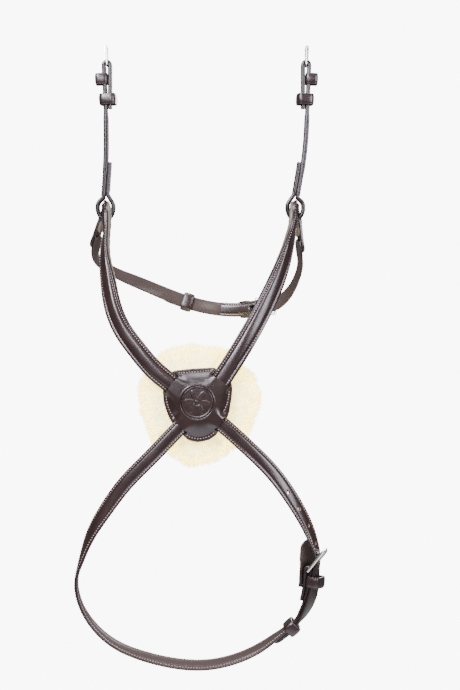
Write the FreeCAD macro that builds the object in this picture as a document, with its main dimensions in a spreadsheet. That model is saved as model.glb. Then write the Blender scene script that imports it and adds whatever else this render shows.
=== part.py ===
"""Hunting breastplate: a leather chest disc with two padded neck straps, two saddle
straps, a wither strap and a buckled girth loop.

Frame: +Z up, -Y is the outside of the chest (the horse stands at +Y), +X is the side
that carries the girth buckle.  The origin is the centre of the chest disc, on the
leather, where all four straps meet.  Sizes are millimetres.
"""
import FreeCAD, Part
import math
import os

import Sketcher
from FreeCAD import Vector

# ---------------------------------------------------------------- driving dimensions
DIMENSIONS = {
    "strap_thickness": 4.0,
    "ply_gap": 0.5,
    # chest disc and the pad behind it
    "disc_width": 92.0,
    "disc_height": 100.0,
    "disc_corner": 9.0,
    "disc_dome_radius": 200.0,
    "disc_front": 10.5,
    "backing_front": 2.0,
    "backing_thickness": 3.0,
    "core_radius": 13.0,
    "core_thickness": 6.2,
    "tape_radius": 30.0,
    "tape_thickness": 2.0,
    "pad_base_radius": 42.0,
    "pad_base_thickness": 4.5,
    "fleece_radius": 76.0,
    "fleece_thickness": 16.0,
    "fleece_rounding": 7.0,
    # neck straps
    "neck_width": 26.0,
    "yoke_width": 17.0,
    "tab_width": 22.0,
    "neck_flange": 3.4,
    "neck_raise": 2.4,
    "lining_thickness": 5.0,
    "yoke_radius": 19.0,
    # saddle straps
    "dee_width": 16.0,
    "dee_thickness": 5.0,
    "dee_bar": 2.6,
    "dee_frame_length": 24.0,
    "ring_half_width": 10.6,
    "ring_half_height": 16.2,
    # wither strap
    "wither_width": 18.5,
    "wither_thickness": 3.4,
    "wither_bar": 3.0,
    "wither_frame_length": 25.0,
    # girth strap
    "girth_width": 21.0,
    "girth_bar": 3.6,
    "girth_frame_length": 32.0,
    "safe_width": 27.0,
    "safe_thickness": 2.6,
    # buckles and keepers
    "side_play": 0.6,
    "fold_play": 0.35,
    "tongue_play": 0.14,
    "tongue_width": 3.4,
    "tongue_height": 2.4,
    "tongue_slot": 5.6,
    "hole_radius": 2.2,
    "hole_pitch": 25.0,
    "fixed_keeper_wall": 1.6,
    "sliding_keeper_wall": 2.3,
    "keeper_height": 15.0,
}

doc = FreeCAD.newDocument("Breastplate")
sheet = doc.addObject("Spreadsheet::Sheet", "Dimensions")
for row, (alias, number) in enumerate(DIMENSIONS.items(), start=1):
    sheet.set(f"A{row}", alias)
    sheet.set(f"B{row}", str(number))
    sheet.setAlias(f"B{row}", alias)
doc.recompute()

LEFT, RIGHT = -1, 1
SIDE_NAMES = {LEFT: "left", RIGHT: "right"}
LOFT_STEP = 11.0            # spacing of the sections along a strap
FOLD_STEP = 30              # degrees between the sections of a fold

nodes = {}                  # node name -> document object


def size(alias):
    """One driving dimension, read back from the spreadsheet."""
    return float(sheet.get(alias))


def keep(name, obj):
    """Name a finished sub-part; the name is its file's name too."""
    obj.Label = name
    nodes[name] = obj
    return obj


# ---------------------------------------------------------------- straps as lofts
def unit(x, y, z):
    return Vector(x, y, z).normalize()


def facing(side, turn):
    """Outer-face normal of a strap turned by `turn` degrees from the front to one side."""
    angle = math.radians(turn)
    return Vector(side * math.sin(angle), -math.cos(angle), 0)


def evenly(route, step=LOFT_STEP):
    """Even stations along a smooth curve through hand-chosen (point, normal) pairs."""
    points = [Vector(*point) for point, _ in route]
    normals = [normal for _, normal in route]
    at = [0.0]
    for before, after in zip(points, points[1:]):
        at.append(at[-1] + before.distanceToPoint(after))
    centre = Part.BSplineCurve()
    centre.interpolate(Points=points, Parameters=at)
    count = max(2, round(at[-1] / step))
    marks = [at[-1] * i / count for i in range(count + 1)]
    return [(centre.value(mark), turned(normals, at, mark)) for mark in marks]


def turned(normals, at, mark):
    """Normal at one distance: a smooth (Catmull-Rom) blend of the route's normals."""
    last = len(at) - 2
    i = next((k for k in range(last + 1) if at[k + 1] >= mark), last)
    share = (mark - at[i]) / (at[i + 1] - at[i])
    before, start, end, after = (normals[min(max(k, 0), last + 1)] for k in range(i - 1, i + 3))
    bend = (end - before) * 0.5
    next_bend = (after - start) * 0.5
    blend = (start * (2 * share ** 3 - 3 * share ** 2 + 1) + bend * (share ** 3 - 2 * share ** 2 + share)
             + end * (3 * share ** 2 - 2 * share ** 3) + next_bend * (share ** 3 - share ** 2))
    return blend.normalize()


def raised(stations, offset):
    """The same stations moved out along their normals."""
    return [(point + normal * offset, normal) for point, normal in stations]


def lengths(stations):
    """Distance of every station from the first one."""
    run = [0.0]
    for (before, _), (after, _) in zip(stations, stations[1:]):
        run.append(run[-1] + before.distanceToPoint(after))
    return run


def section_axes(stations, i):
    """(point, across, out) of the section at one station."""
    point, normal = stations[i]
    ahead = stations[min(i + 1, len(stations) - 1)][0]
    behind = stations[max(i - 1, 0)][0]
    along = (ahead - behind).normalize()
    out = (normal - along * normal.dot(along)).normalize()
    return point, along.cross(out), out


def planar_strap(stations, width, thickness, seams):
    """A strap that stays in a plane of constant Y: its edge-on outline, extruded across."""
    cuts = [0, *seams, len(stations) - 1]
    outline = []
    for offset in (thickness / 2, -thickness / 2):
        side = []
        for i in range(len(stations)):
            point, _, out = section_axes(stations, i)
            side.append(point + out * offset - Vector(0, width / 2, 0))
        edges = []
        for a, b in zip(cuts, cuts[1:]):
            curve = Part.BSplineCurve()
            curve.interpolate(side[a:b + 1])
            edges.append(curve.toShape())
        outline.append((side, edges))
    (front, front_edges), (back, back_edges) = outline
    ends = [Part.makeLine(front[i], back[i]) for i in (0, -1)]
    wire = Part.Wire(Part.__sortEdges__(front_edges + back_edges + ends))
    return Part.Face(wire).extrude(Vector(0, width, 0))


def loft(stations, profile, seams=()):
    """A solid through one section per station; profile(run, total) gives (across, out).

    The surface runs smoothly between the seams, which are station numbers.
    """
    run = lengths(stations)
    wires = []
    for i in range(len(stations)):
        point, across, out = section_axes(stations, i)
        corners = [point + across * a + out * o for a, o in profile(run[i], run[-1])]
        wires.append(Part.makePolygon(corners + corners[:1]))
    cuts = [0, *seams, len(wires) - 1]
    lengthwise = [Part.makeLoft(wires[a:b + 1], True, False) for a, b in zip(cuts, cuts[1:])]
    return lengthwise[0].multiFuse(lengthwise[1:]) if seams else lengthwise[0]


def rounded_end(distance, radius):
    """Width factor close to a rounded strap end, `distance` from the end."""
    if distance >= radius:
        return 1.0
    return max(0.25, math.sqrt(1 - (1 - distance / radius) ** 2))


def flat_profile(width, thickness, first=0.0, last=0.0):
    """A plain strap section, with ends rounded over `first` and `last` millimetres."""
    def profile(run, total):
        factor = 1.0
        if first:
            factor = min(factor, rounded_end(run, first))
        if last:
            factor = min(factor, rounded_end(total - run, last))
        a = width / 2 * factor
        o = thickness / 2
        return [(-a, -o), (a, -o), (a, o), (-a, o)]
    return profile


END_SHARES = (1.0, 0.7, 0.45, 0.25, 0.1, 0.0)     # stations inside a rounded end


def with_round_end(stations, radius):
    """Extra stations inside the last `radius` millimetres, so that an end can be rounded."""
    run = lengths(stations)
    total = run[-1]
    body = [station for station, at in zip(stations, run) if at < total - radius - 1]
    extra = []
    for share in END_SHARES:
        extra.append(station_at(stations, total - radius * share))
    return body + extra


def station_at(stations, distance):
    """The station at a distance along the strap, between the given ones."""
    run = lengths(stations)
    for i in range(1, len(stations)):
        if run[i] >= distance or i == len(stations) - 1:
            share = (distance - run[i - 1]) / (run[i] - run[i - 1])
            (before, first), (after, second) = stations[i - 1], stations[i]
            return before + (after - before) * share, (first + (second - first) * share).normalize()


def between(stations, start, end):
    """The stretch of a strap between two distances."""
    run = lengths(stations)
    inner = [s for s, at in zip(stations, run) if start + 1 < at < end - 1]
    return [station_at(stations, start)] + inner + [station_at(stations, end)]


def add_shape(name, shape):
    feature = doc.addObject("Part::Feature", name)
    feature.Shape = shape
    return keep(name, feature)


class BuckleEnd:
    """The end of a strap turned round a buckle's heel bar.

    The main ply comes up on the outer side, the tail returns on the inner side.
    """

    def __init__(self, main, thickness, bar, tail_length):
        self.thickness = thickness
        self.radius = bar / 2 + size("fold_play") + thickness / 2
        self.main = main
        point, self.out = main[-1]
        run = lengths(main)
        self.total = run[-1]
        self.along = (point - main[-2][0])
        self.along = (self.along - self.out * self.along.dot(self.out)).normalize()
        self.across = self.along.cross(self.out)
        self.bar_centre = point - self.out * self.radius
        self.tail_length = tail_length

    def spread(self, distance):
        """Distance between the centres of the two plies, `distance` below the bar."""
        closed = self.thickness + size("ply_gap")
        closing_length = self.tail_length + 4
        return closed + (2 * self.radius - closed) * max(0, 1 - distance / closing_length)

    def stations(self):
        fold = []
        for angle in range(FOLD_STEP, 180, FOLD_STEP):
            turn = math.radians(angle)
            direction = self.out * math.cos(turn) + self.along * math.sin(turn)
            fold.append((self.bar_centre + direction * self.radius, direction))
        tail = []
        for share in (0, 0.12, 0.3, 0.5, 0.7, 0.85, 1.0):
            distance = self.tail_length * share
            point, normal = station_at(self.main, self.total - distance)
            tail.append((point - normal * self.spread(distance), -normal))
        self.seams = (len(self.main) - 1, len(self.main) + len(fold))
        return self.main + fold + tail

    def below(self, distance, out=0.0):
        """A point on the main ply's centre line, `distance` below the bar."""
        point, normal = station_at(self.main, self.total - distance)
        return point + normal * out

    def directions(self, distance):
        """(along, out) of the main ply, `distance` below the bar."""
        point, normal = station_at(self.main, self.total - distance)
        ahead = station_at(self.main, self.total - distance + 2)[0]
        along = (ahead - point).normalize()
        return along, (normal - along * normal.dot(along)).normalize()

    def slot(self):
        """The slot in the fold that the buckle's tongue turns in."""
        reach = 2 * (self.radius + self.thickness)
        length = self.radius + self.thickness + 9
        box = Part.makeBox(size("tongue_slot"), reach, length)
        corner = self.bar_centre + self.across * (size("tongue_slot") / 2)
        corner = corner - self.out * (reach / 2) - self.along * 9
        box.Placement = FreeCAD.Placement(corner, axes(-self.across, self.out, self.along))
        return box


def axes(x_axis, y_axis, z_axis):
    return FreeCAD.Rotation(x_axis, y_axis, z_axis, "XYZ")


def buckle_strap(name, end, width):
    stations = end.stations()
    shape = loft(stations, flat_profile(width, end.thickness), end.seams)
    return add_shape(name, shape.cut(end.slot()))


# ---------------------------------------------------------------- sketched pieces
def plane_sketch(body, name):
    """A sketch on the body's own XY plane."""
    sketch = body.newObject("Sketcher::SketchObject", name)
    plane = next(f for f in body.Origin.OriginFeatures if f.Role == "XY_Plane")
    sketch.AttachmentSupport = (plane, [""])
    sketch.MapMode = "FlatFace"
    return sketch


def add_rectangle(sketch, width, height):
    """A rectangle centred on the sketch's origin, its sides given as expressions."""
    corners = [Vector(-5, -5, 0), Vector(5, -5, 0), Vector(5, 5, 0), Vector(-5, 5, 0)]
    first = sketch.GeometryCount
    for i, corner in enumerate(corners):
        sketch.addGeometry(Part.LineSegment(corner, corners[(i + 1) % 4]), False)
    for i in range(4):
        sketch.addConstraint(Sketcher.Constraint("Coincident", first + i, 2, first + (i + 1) % 4, 1))
        straight = "Horizontal" if i % 2 == 0 else "Vertical"
        sketch.addConstraint(Sketcher.Constraint(straight, first + i))
    sketch.addConstraint(Sketcher.Constraint("Symmetric", first, 1, first + 2, 1, -1, 1))
    across = sketch.addConstraint(Sketcher.Constraint("DistanceX", first, 1, first, 2, 10.0))
    upright = sketch.addConstraint(Sketcher.Constraint("DistanceY", first + 1, 1, first + 1, 2, 10.0))
    sketch.setExpression(f"Constraints[{across}]", width)
    sketch.setExpression(f"Constraints[{upright}]", height)


def pad(body, sketch, length, midplane=True):
    feature = body.newObject("PartDesign::Pad", "Pad")
    feature.Profile = sketch
    if midplane:
        feature.SideType = "Symmetric"
    feature.setExpression("Length", length)
    doc.recompute()
    return feature


def fillet(body, base, names, radius):
    feature = body.newObject("PartDesign::Fillet", "Fillet")
    feature.Base = (base, names)
    feature.Radius = radius
    doc.recompute()
    return feature


def upright_edges(shape):
    """Names of the edges along local Z."""
    names = []
    for i, edge in enumerate(shape.Edges, start=1):
        if len(edge.Vertexes) == 2:
            step = edge.Vertexes[1].Point - edge.Vertexes[0].Point
            if abs(step.x) + abs(step.y) < 0.001:
                names.append(f"Edge{i}")
    return names


def hollow_block(name, hole, wall, depth, placement, corner, softening=0.0):
    """A closed band: a rectangular hole (x, y expressions) with one wall all round."""
    body = doc.addObject("PartDesign::Body", name)
    sketch = plane_sketch(body, name + "_band")
    add_rectangle(sketch, f"{hole[0]} + 2 * {wall}", f"{hole[1]} + 2 * {wall}")
    add_rectangle(sketch, hole[0], hole[1])
    doc.recompute()
    band = pad(body, sketch, depth)
    band = fillet(body, band, upright_edges(band.Shape), corner)
    if softening:
        every = [f"Edge{i + 1}" for i in range(len(band.Shape.Edges))]
        fillet(body, band, every, softening)
    body.Placement = placement
    return keep(name, body)


def buckle_frame(name, end, kind, along, out):
    """Rectangular buckle frame; its heel bar is in the strap's fold."""
    across = along.cross(out)
    centre = end.bar_centre + along * (size(f"{kind}_frame_length") / 2)
    hole = (f"Dimensions.{kind}_width + 2 * Dimensions.side_play",
            f"Dimensions.{kind}_frame_length - Dimensions.{kind}_bar")
    placement = FreeCAD.Placement(centre, axes(across, along, out))
    bar = f"Dimensions.{kind}_bar"
    return hollow_block(name, hole, bar, bar, placement, 1.6, 0.44 * size(f"{kind}_bar"))


def tongue(name, end, kind, along, out):
    """Buckle tongue: an eye round the heel bar and a pin that rests on the front bar."""
    bar = size(f"{kind}_bar") / 2
    eye_inner = bar + size("tongue_play")
    eye_outer = eye_inner + 1.5
    length = size(f"{kind}_frame_length")
    rest = bar + 0.05
    high = rest + size("tongue_height")
    body = doc.addObject("PartDesign::Body", name)
    eye = plane_sketch(body, name + "_eye")
    for i, radius in enumerate((eye_outer, eye_inner)):
        eye.addGeometry(Part.Circle(Vector(0, 0, 0), Vector(0, 0, 1), radius), False)
        eye.addConstraint(Sketcher.Constraint("Coincident", i, 3, -1, 1))
        eye.addConstraint(Sketcher.Constraint("Radius", i, radius))
    eye.setExpression("Constraints[1]", f"Dimensions.{kind}_bar / 2 + Dimensions.tongue_play + 1.5")
    eye.setExpression("Constraints[3]", f"Dimensions.{kind}_bar / 2 + Dimensions.tongue_play")
    doc.recompute()
    pad(body, eye, "Dimensions.tongue_width")
    pin = plane_sketch(body, name + "_pin")
    side_view = ((eye_inner + 0.35, 0.4), (length - bar, rest), (length + 2.6, rest),
                 (length + 2.2, high - 0.6), (length - 1, high), (0.7, eye_outer - 0.3))
    outline = [Vector(x, y, 0) for x, y in side_view]
    for i, corner in enumerate(outline):
        pin.addGeometry(Part.LineSegment(corner, outline[(i + 1) % len(outline)]), False)
    for i in range(len(outline)):
        pin.addConstraint(Sketcher.Constraint("Coincident", i, 2, (i + 1) % len(outline), 1))
    doc.recompute()
    pad(body, pin, "Dimensions.tongue_width")
    body.Placement = FreeCAD.Placement(end.bar_centre, axes(along, out, along.cross(out)))
    return keep(name, body)


def keeper(name, centre, along, out, hole, wall, turn=0.0):
    """Leather loop round a strap; `turn` twists it about the strap."""
    across = along.cross(out)
    rotation = axes(across, out, -along)
    rotation = FreeCAD.Rotation(along, turn).multiply(rotation)
    return hollow_block(name, hole, wall, "Dimensions.keeper_height",
                        FreeCAD.Placement(centre, rotation), 1.1)


def fixed_keeper(name, end, kind, distance, room):
    """Keeper sewn between the plies: it holds the main ply and has room outside for a billet."""
    along, out = end.directions(distance)
    inner = -(end.thickness / 2 + 0.8 * size("ply_gap"))
    centre = end.below(distance, inner + room / 2)
    hole = (f"Dimensions.{kind}_width + 2 * Dimensions.side_play", f"{room}")
    return keeper(name, centre, along, out, hole, "Dimensions.fixed_keeper_wall")


def sliding_keeper(name, end, kind, distance, room, out_shift, turn=0.0, extra=0.0):
    along, out = end.directions(distance)
    centre = end.below(distance, out_shift)
    hole = (f"Dimensions.{kind}_width + 2 * Dimensions.side_play + {extra}", f"{room}")
    return keeper(name, centre, along, out, hole, "Dimensions.sliding_keeper_wall", turn)


# ---------------------------------------------------------------- chest disc
def disc_outline():
    """Rounded shield: wide shoulders between the neck straps, a narrower foot."""
    w = size("disc_width") / 2
    h = size("disc_height") / 2
    return [(-w, 0.38 * h), (-0.74 * w, 0.86 * h), (-0.16 * w, 0.92 * h), (0.47 * w, 0.95 * h),
            (0.96 * w, 0.56 * h), (0.97 * w, 0.3 * h), (0.93 * w, 0.03 * h), (0.8 * w, -0.27 * h),
            (0.53 * w, -0.8 * h), (0.31 * w, -0.94 * h), (0, -h), (-0.29 * w, -0.94 * h),
            (-0.44 * w, -0.8 * h), (-0.69 * w, -0.47 * h), (-0.86 * w, -0.27 * h), (-0.97 * w, 0.03 * h)]


FRONT_PLANE = FreeCAD.Rotation(Vector(1, 0, 0), Vector(0, 0, 1), Vector(0, -1, 0), "XYZ")


def outline_block(name, back, depth):
    """The disc's outline as a block that grows forward from Y = back."""
    body = doc.addObject("PartDesign::Body", name)
    sketch = plane_sketch(body, name + "_outline")
    points = [Vector(x, y, 0) for x, y in disc_outline()]
    for i, point in enumerate(points):
        sketch.addGeometry(Part.LineSegment(point, points[(i + 1) % len(points)]), False)
    for i in range(len(points)):
        sketch.addConstraint(Sketcher.Constraint("Coincident", i, 2, (i + 1) % len(points), 1))
    doc.recompute()
    block = pad(body, sketch, depth, midplane=False)
    fillet(body, block, upright_edges(block.Shape), size("disc_corner"))
    body.Placement = FreeCAD.Placement(Vector(0, back, 0), FRONT_PLANE)
    return body


def round_block(name, radius, thickness, front):
    """A round layer behind the disc, from Y = front backwards."""
    cylinder = doc.addObject("Part::Cylinder", name)
    cylinder.setExpression("Radius", radius)
    cylinder.setExpression("Height", thickness)
    cylinder.Placement = FreeCAD.Placement(Vector(0, front, 0), FreeCAD.Rotation(Vector(1, 0, 0), -90))
    return cylinder


def strap_room(name, end, start, width, height, depth):
    """A block over one strap end, from a distance along the strap outward."""
    stations = end[0]
    first = stations[0][0]
    along = station_at(stations, 32)[0] - first
    along.y = 0
    along.normalize()
    out = Vector(0, -1, 0)
    across = along.cross(out)
    box = doc.addObject("Part::Box", name)
    box.Length = width
    box.Height = height
    box.Width = depth
    corner = Vector(first.x, size("backing_front"), first.z) + along * start + across * (width / 2)
    box.Placement = FreeCAD.Placement(corner, axes(-across, out, along))
    return box


COVER_REACHES = (15.6, 19.8, 8.8, 17.4)     # how far the cover reaches out over each strap


def build_disc(strap_ends):
    """Cover, core and backing, sewn together round the four strap ends."""
    front = size("backing_front")
    block = outline_block("cover_block", front, "Dimensions.disc_front + Dimensions.backing_front")
    dome = doc.addObject("Part::Sphere", "cover_dome")
    dome.setExpression("Radius", "Dimensions.disc_dome_radius")
    dome.Placement.Base = Vector(0, size("disc_dome_radius") - size("disc_front"), 0)
    shell = doc.addObject("Part::Common", "cover_shell")
    shell.Base, shell.Tool = block, dome
    core_depth = size("core_thickness") + 0.4
    rooms = [round_block("core_room", "Dimensions.core_radius + 0.3", f"{core_depth}", front - core_depth)]
    for i, (end, reach) in enumerate(zip(strap_ends, COVER_REACHES)):
        _, width, depth = end
        rooms.append(strap_room(f"passage_{i}", end, -2, width + 2 * size("side_play"), 80, depth))
        rooms.append(strap_room(f"exit_{i}", end, reach, width + 1.5, 60, 40))
    tools = doc.addObject("Part::MultiFuse", "cover_rooms")
    tools.Shapes = rooms
    cover = doc.addObject("Part::Cut", "cover")
    cover.Base, cover.Tool = shell, tools
    keep("chest_cover", cover)
    core_front = front - size("core_thickness") - 0.1
    keep("chest_core", round_block("core", "Dimensions.core_radius", "Dimensions.core_thickness", core_front))
    backing = outline_block("backing", front + size("backing_thickness"), "Dimensions.backing_thickness")
    keep("chest_backing", backing)


def build_pad():
    """Removable sheepskin pad, held to the disc's back by touch-close tape."""
    tape_front = size("backing_front") + size("backing_thickness")
    keep("pad_tape", round_block("tape", "Dimensions.tape_radius", "Dimensions.tape_thickness", tape_front))
    base_front = tape_front + size("tape_thickness")
    keep("sheepskin_base", round_block("pad_base", "Dimensions.pad_base_radius",
                                       "Dimensions.pad_base_thickness", base_front))
    fleece_front = base_front + size("pad_base_thickness")
    wool = round_block("wool", "Dimensions.fleece_radius", "Dimensions.fleece_thickness", fleece_front)
    doc.recompute()
    rounding = doc.addObject("Part::Fillet", "wool_rounding")
    rounding.Base = wool
    radius = size("fleece_rounding")
    rims = [i for i, e in enumerate(wool.Shape.Edges, 1) if e.Closed]
    rounding.Edges = [(i, radius, radius) for i in rims]
    keep("sheepskin_fleece", rounding)


# ---------------------------------------------------------------- neck straps
NECK_ROUTES = {
    LEFT: [((-21, -0.2, 15), 0), ((-40, -0.4, 30), 0), ((-58.6, 0.8, 46), 5), ((-79.3, 4.5, 70), 13),
           ((-98.7, 12, 96), 22), ((-112.3, 20, 126), 32), ((-119.5, 30, 158), 42), ((-125.5, 42, 202), 64)],
    RIGHT: [((18, -0.3, 13), 0), ((37, -0.6, 42), 0), ((54, 1.0, 68.5), 5), ((73.1, 7, 101), 16),
            ((91.8, 17, 136.5), 28), ((111, 30, 180), 46), ((123.5, 42, 221), 66)],
}
YOKE_CENTRES = {LEFT: Vector(-125.45, 71, 243.2), RIGHT: Vector(129.6, 71, 243.2)}
# The crook of the yoke: angle over the ring, outward turn of the face, share of the flare
YOKE_ARC = [(0, 80, 0), (40, 82, 0), (90, 86, 0), (130, 91, 0.12), (155, 98, 0.5), (180, 105, 1)]
YOKE_LEAN = 2.6             # how far the crook's front leg stands inside its top
YOKE_FLARES = {LEFT: 7.5, RIGHT: 4.5}
TAB_ENDS = {LEFT: (-143.5, 96, 207), RIGHT: (139, 95, 201)}
TAB_TURNS = {LEFT: (112, 120), RIGHT: (104, 109)}
TAPER_START = 0.62          # share of the way to the crook where the strap starts to narrow


def neck_stations(side):
    """Disc -> shoulder -> edgewise crook of the yoke -> rounded tab behind it."""
    route = [(point, facing(side, turn)) for point, turn in NECK_ROUTES[side]]
    centre = YOKE_CENTRES[side]
    radius = size("yoke_radius")
    for angle, face, share in YOKE_ARC:
        over = math.radians(angle)
        outward = side * (YOKE_FLARES[side] * share - YOKE_LEAN * max(0, math.cos(over)))
        point = centre + Vector(outward, -radius * math.cos(over), radius * math.sin(over))
        route.append((tuple(point), facing(side, face)))
    foot = Vector(*route[-1][0])
    end = Vector(*TAB_ENDS[side])
    for point, turn in zip((foot * 0.5 + end * 0.5, end), TAB_TURNS[side]):
        route.append((tuple(point), facing(side, turn)))
    return evenly(route, 7.0)


def neck_width(run, total):
    """Full width on the chest, narrow in the crook, wider again at the rounded tab."""
    tab = 40
    crook_start = total - tab - math.pi * size("yoke_radius")
    wide, narrow, end = size("neck_width"), size("yoke_width"), size("tab_width")
    if run < crook_start:
        share = max(0, (run / crook_start - TAPER_START) / (1 - TAPER_START))
        width = wide + (narrow - wide) * share ** 1.4
    else:
        share = max(0, (run - total + tab) / tab)
        width = narrow + (end - narrow) * min(1, 1.6 * share)
    return width * rounded_end(total - run, 9)


def neck_face_profile(run, total):
    """Flat flanges with a raised round centre that fades out before the crook."""
    a = neck_width(run, total) / 2
    flat = size("neck_flange")
    fade = max(0, min(1, (total - 130 - run) / 60))
    top = flat + size("neck_raise") * fade + 0.3
    return [(-a, 0), (a, 0), (a, flat), (0.56 * a, flat), (0.36 * a, top), (-0.36 * a, top),
            (-0.56 * a, flat), (-a, flat)]


def lining_profile(run, total):
    """Padded lining: a soft cushion section under the face strap."""
    a = 0.94 * neck_width(run + LINING_START, total + LINING_START) / 2
    crook = max(0, min(1, (run - total + 110) / 15))
    top = -0.15 - 0.3 * crook
    back = top - size("lining_thickness") * (1 - 0.42 * crook)
    return [(-a, top), (-a, 0.6 * back), (-0.7 * a, back), (0.7 * a, back), (a, 0.6 * back), (a, top)]


LINING_START = 40           # the lining starts this far along the face strap, clear of the disc
LINING_STOP = 22            # and stops this far before its end, where the wither strap is sewn on


def laid_neck_stations(side):
    """Neck stations at the back of the face strap."""
    return raised(neck_stations(side), -size("backing_front") + 0.15)


def crook_seams(stations):
    """Station numbers where the crook's legs start and end."""
    heights = [point.z for point, _ in stations]
    level = YOKE_CENTRES[LEFT].z
    rising = next(i for i, z in enumerate(heights) if z > level)
    falling = next(i for i, z in enumerate(heights) if i > rising and z < level)
    return rising - 6, rising, falling


def tab_lead(side):
    """Where the wither strap lies flat on the inside of a tab."""
    stations = laid_neck_stations(side)
    total = lengths(stations)[-1]
    depth = size("wither_thickness") / 2 + 0.5
    found = [station_at(stations, total - distance) for distance in (19, 10, 1)]
    return [(tuple(point - normal * depth), normal) for point, normal in found]


def build_neck_straps():
    ends = []
    for side, word in SIDE_NAMES.items():
        stations = laid_neck_stations(side)
        total = lengths(stations)[-1]
        face = with_round_end(stations, 9)
        seams = [*crook_seams(face), len(face) - len(END_SHARES)]
        add_shape(f"neck_strap_{word}", loft(face, neck_face_profile, seams))
        lining = between(stations, LINING_START, total - LINING_STOP)
        add_shape(f"neck_lining_{word}", loft(lining, lining_profile, crook_seams(lining)))
        ends.append((stations, size("neck_width") + 2, size("neck_flange") + size("neck_raise") + 1.5))
    return ends


# ---------------------------------------------------------------- saddle straps
RING_CENTRES = {LEFT: (-124.9, 261.2), RIGHT: (129.0, 261.2)}
DEE_MAIN = {
    LEFT: [(-127.6, 281), (-125.6, 305), (-124.2, 330), (-124.0, 355), (-124.5, 390), (-127.2, 451)],
    RIGHT: [(132.2, 281), (137.2, 305), (140.8, 330), (143.2, 355), (144.9, 390), (147.6, 451)],
}
DEE_LOWER_TAIL = 321        # height at which the lower tail ends
DEE_Y = 71


def dee_stations(side):
    """Lower tail, ring round the yoke and main ply, in one vertical plane."""
    def at(x, z, nx, nz):
        return Vector(x, DEE_Y, z), Vector(nx, 0, nz).normalize()

    route = [((x, DEE_Y, z), Vector(side, 0, 0)) for x, z in DEE_MAIN[side]]
    main = evenly(route, 10)
    pitch = size("dee_thickness") + size("ply_gap")
    tail = []
    for height in (DEE_LOWER_TAIL, 314, 308, 302, 296, 290, 285):
        above = next(i for i, (p, _) in enumerate(main) if p.z > height)
        low, high = main[above - 1][0], main[above][0]
        beside = low + (high - low) * ((height - low.z) / (high.z - low.z))
        tail.append((Vector(beside.x - side * pitch, DEE_Y, height), Vector(-side, 0, 0)))
    cx, cz = RING_CENTRES[side]
    ring = []
    for angle in range(40, 330, 10):
        turn = math.radians(angle)
        x, z = -side * math.sin(turn), math.cos(turn)
        wide, tall = size("ring_half_width"), size("ring_half_height")
        ring.append(at(cx + x * wide, cz + z * tall, x / wide, z / tall))
    return tail, ring, main


def build_saddle_strap(side):
    word = SIDE_NAMES[side]
    tail, ring, main = dee_stations(side)
    end = BuckleEnd(main, size("dee_thickness"), size("dee_bar"), 58)
    lower = tail + ring
    stations = lower + end.stations()
    seams = [len(lower) + seam for seam in (0, *end.seams)]
    shape = planar_strap(stations, size("dee_width"), size("dee_thickness"), seams)
    add_shape(f"dee_strap_{word}", shape.cut(end.slot()))
    up = Vector(0, 0, 1)
    out = Vector(side, 0, 0)
    buckle_frame(f"dee_buckle_frame_{word}", end, "dee", up, out)
    tongue(f"dee_buckle_tongue_{word}", end, "dee", up, out)
    fixed_keeper(f"dee_keeper_fixed_{word}", end, "dee", 18.5, 13.6)
    sliding_keeper(f"dee_keeper_sliding_{word}", end, "dee", 46, 17.5, -3.6, turn=side * 7, extra=2.4)


# ---------------------------------------------------------------- wither strap
WITHER_LEFT = [
    ((-139.6, 98.5, 195), unit(-0.78, 0.53, -0.33)), ((-131.5, 108, 186), unit(-0.55, 0.66, -0.5)),
    ((-116, 122, 176), unit(-0.35, 0.75, -0.55)),
    ((-88, 136, 164), unit(-0.2, 0.9, -0.4)), ((-58.8, 146, 152), unit(-0.1, 0.95, -0.3)),
    ((-16.5, 152, 136), unit(0, 1, -0.15)), ((22.9, 150, 127), unit(0.1, 0.98, -0.1)),
    ((59.5, 141, 125.5), unit(0.28, 0.95, -0.05)), ((80, 134, 128.5), unit(0.33, 0.94, -0.1)),
]
WITHER_RIGHT = [
    ((136.6, 99, 187), unit(0.94, 0.32, -0.05)), ((133.8, 105.5, 172), unit(0.92, 0.34, -0.15)),
    ((127, 113.5, 156), unit(0.8, 0.5, -0.3)), ((116, 122.5, 141.5), unit(0.6, 0.72, -0.3)),
    ((101, 131.5, 132), unit(0.42, 0.9, -0.1)),
]
WITHER_BILLET_OVERLAP = 140
WITHER_BUCKLE_TIP = 34      # degrees that the closed frame leans out from its strap


def buckled_billet(lead_in, end, overlap, width, tip):
    """A billet: its own lead-in, then flat along the outside of the buckled strap to its tip."""
    pitch = end.thickness + size("ply_gap")
    lying = raised(list(reversed(between(end.main, end.total - overlap, end.total))), pitch)
    route = evenly(lead_in + [(tuple(point), normal) for point, normal in lying[:2]])
    join = lengths(route)[-1] - lying[0][0].distanceToPoint(lying[1][0])
    stations = between(route, 0, join) + lying[1:]
    return with_round_end(stations, tip), flat_profile(width, end.thickness, last=tip)


def punch(stations, distances):
    """Cylinders that punch the billet's holes."""
    tools = []
    for distance in distances:
        point, normal = station_at(stations, distance)
        tools.append(Part.makeCylinder(size("hole_radius"), 14, point - normal * 7, normal))
    return Part.makeCompound(tools)


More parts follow.
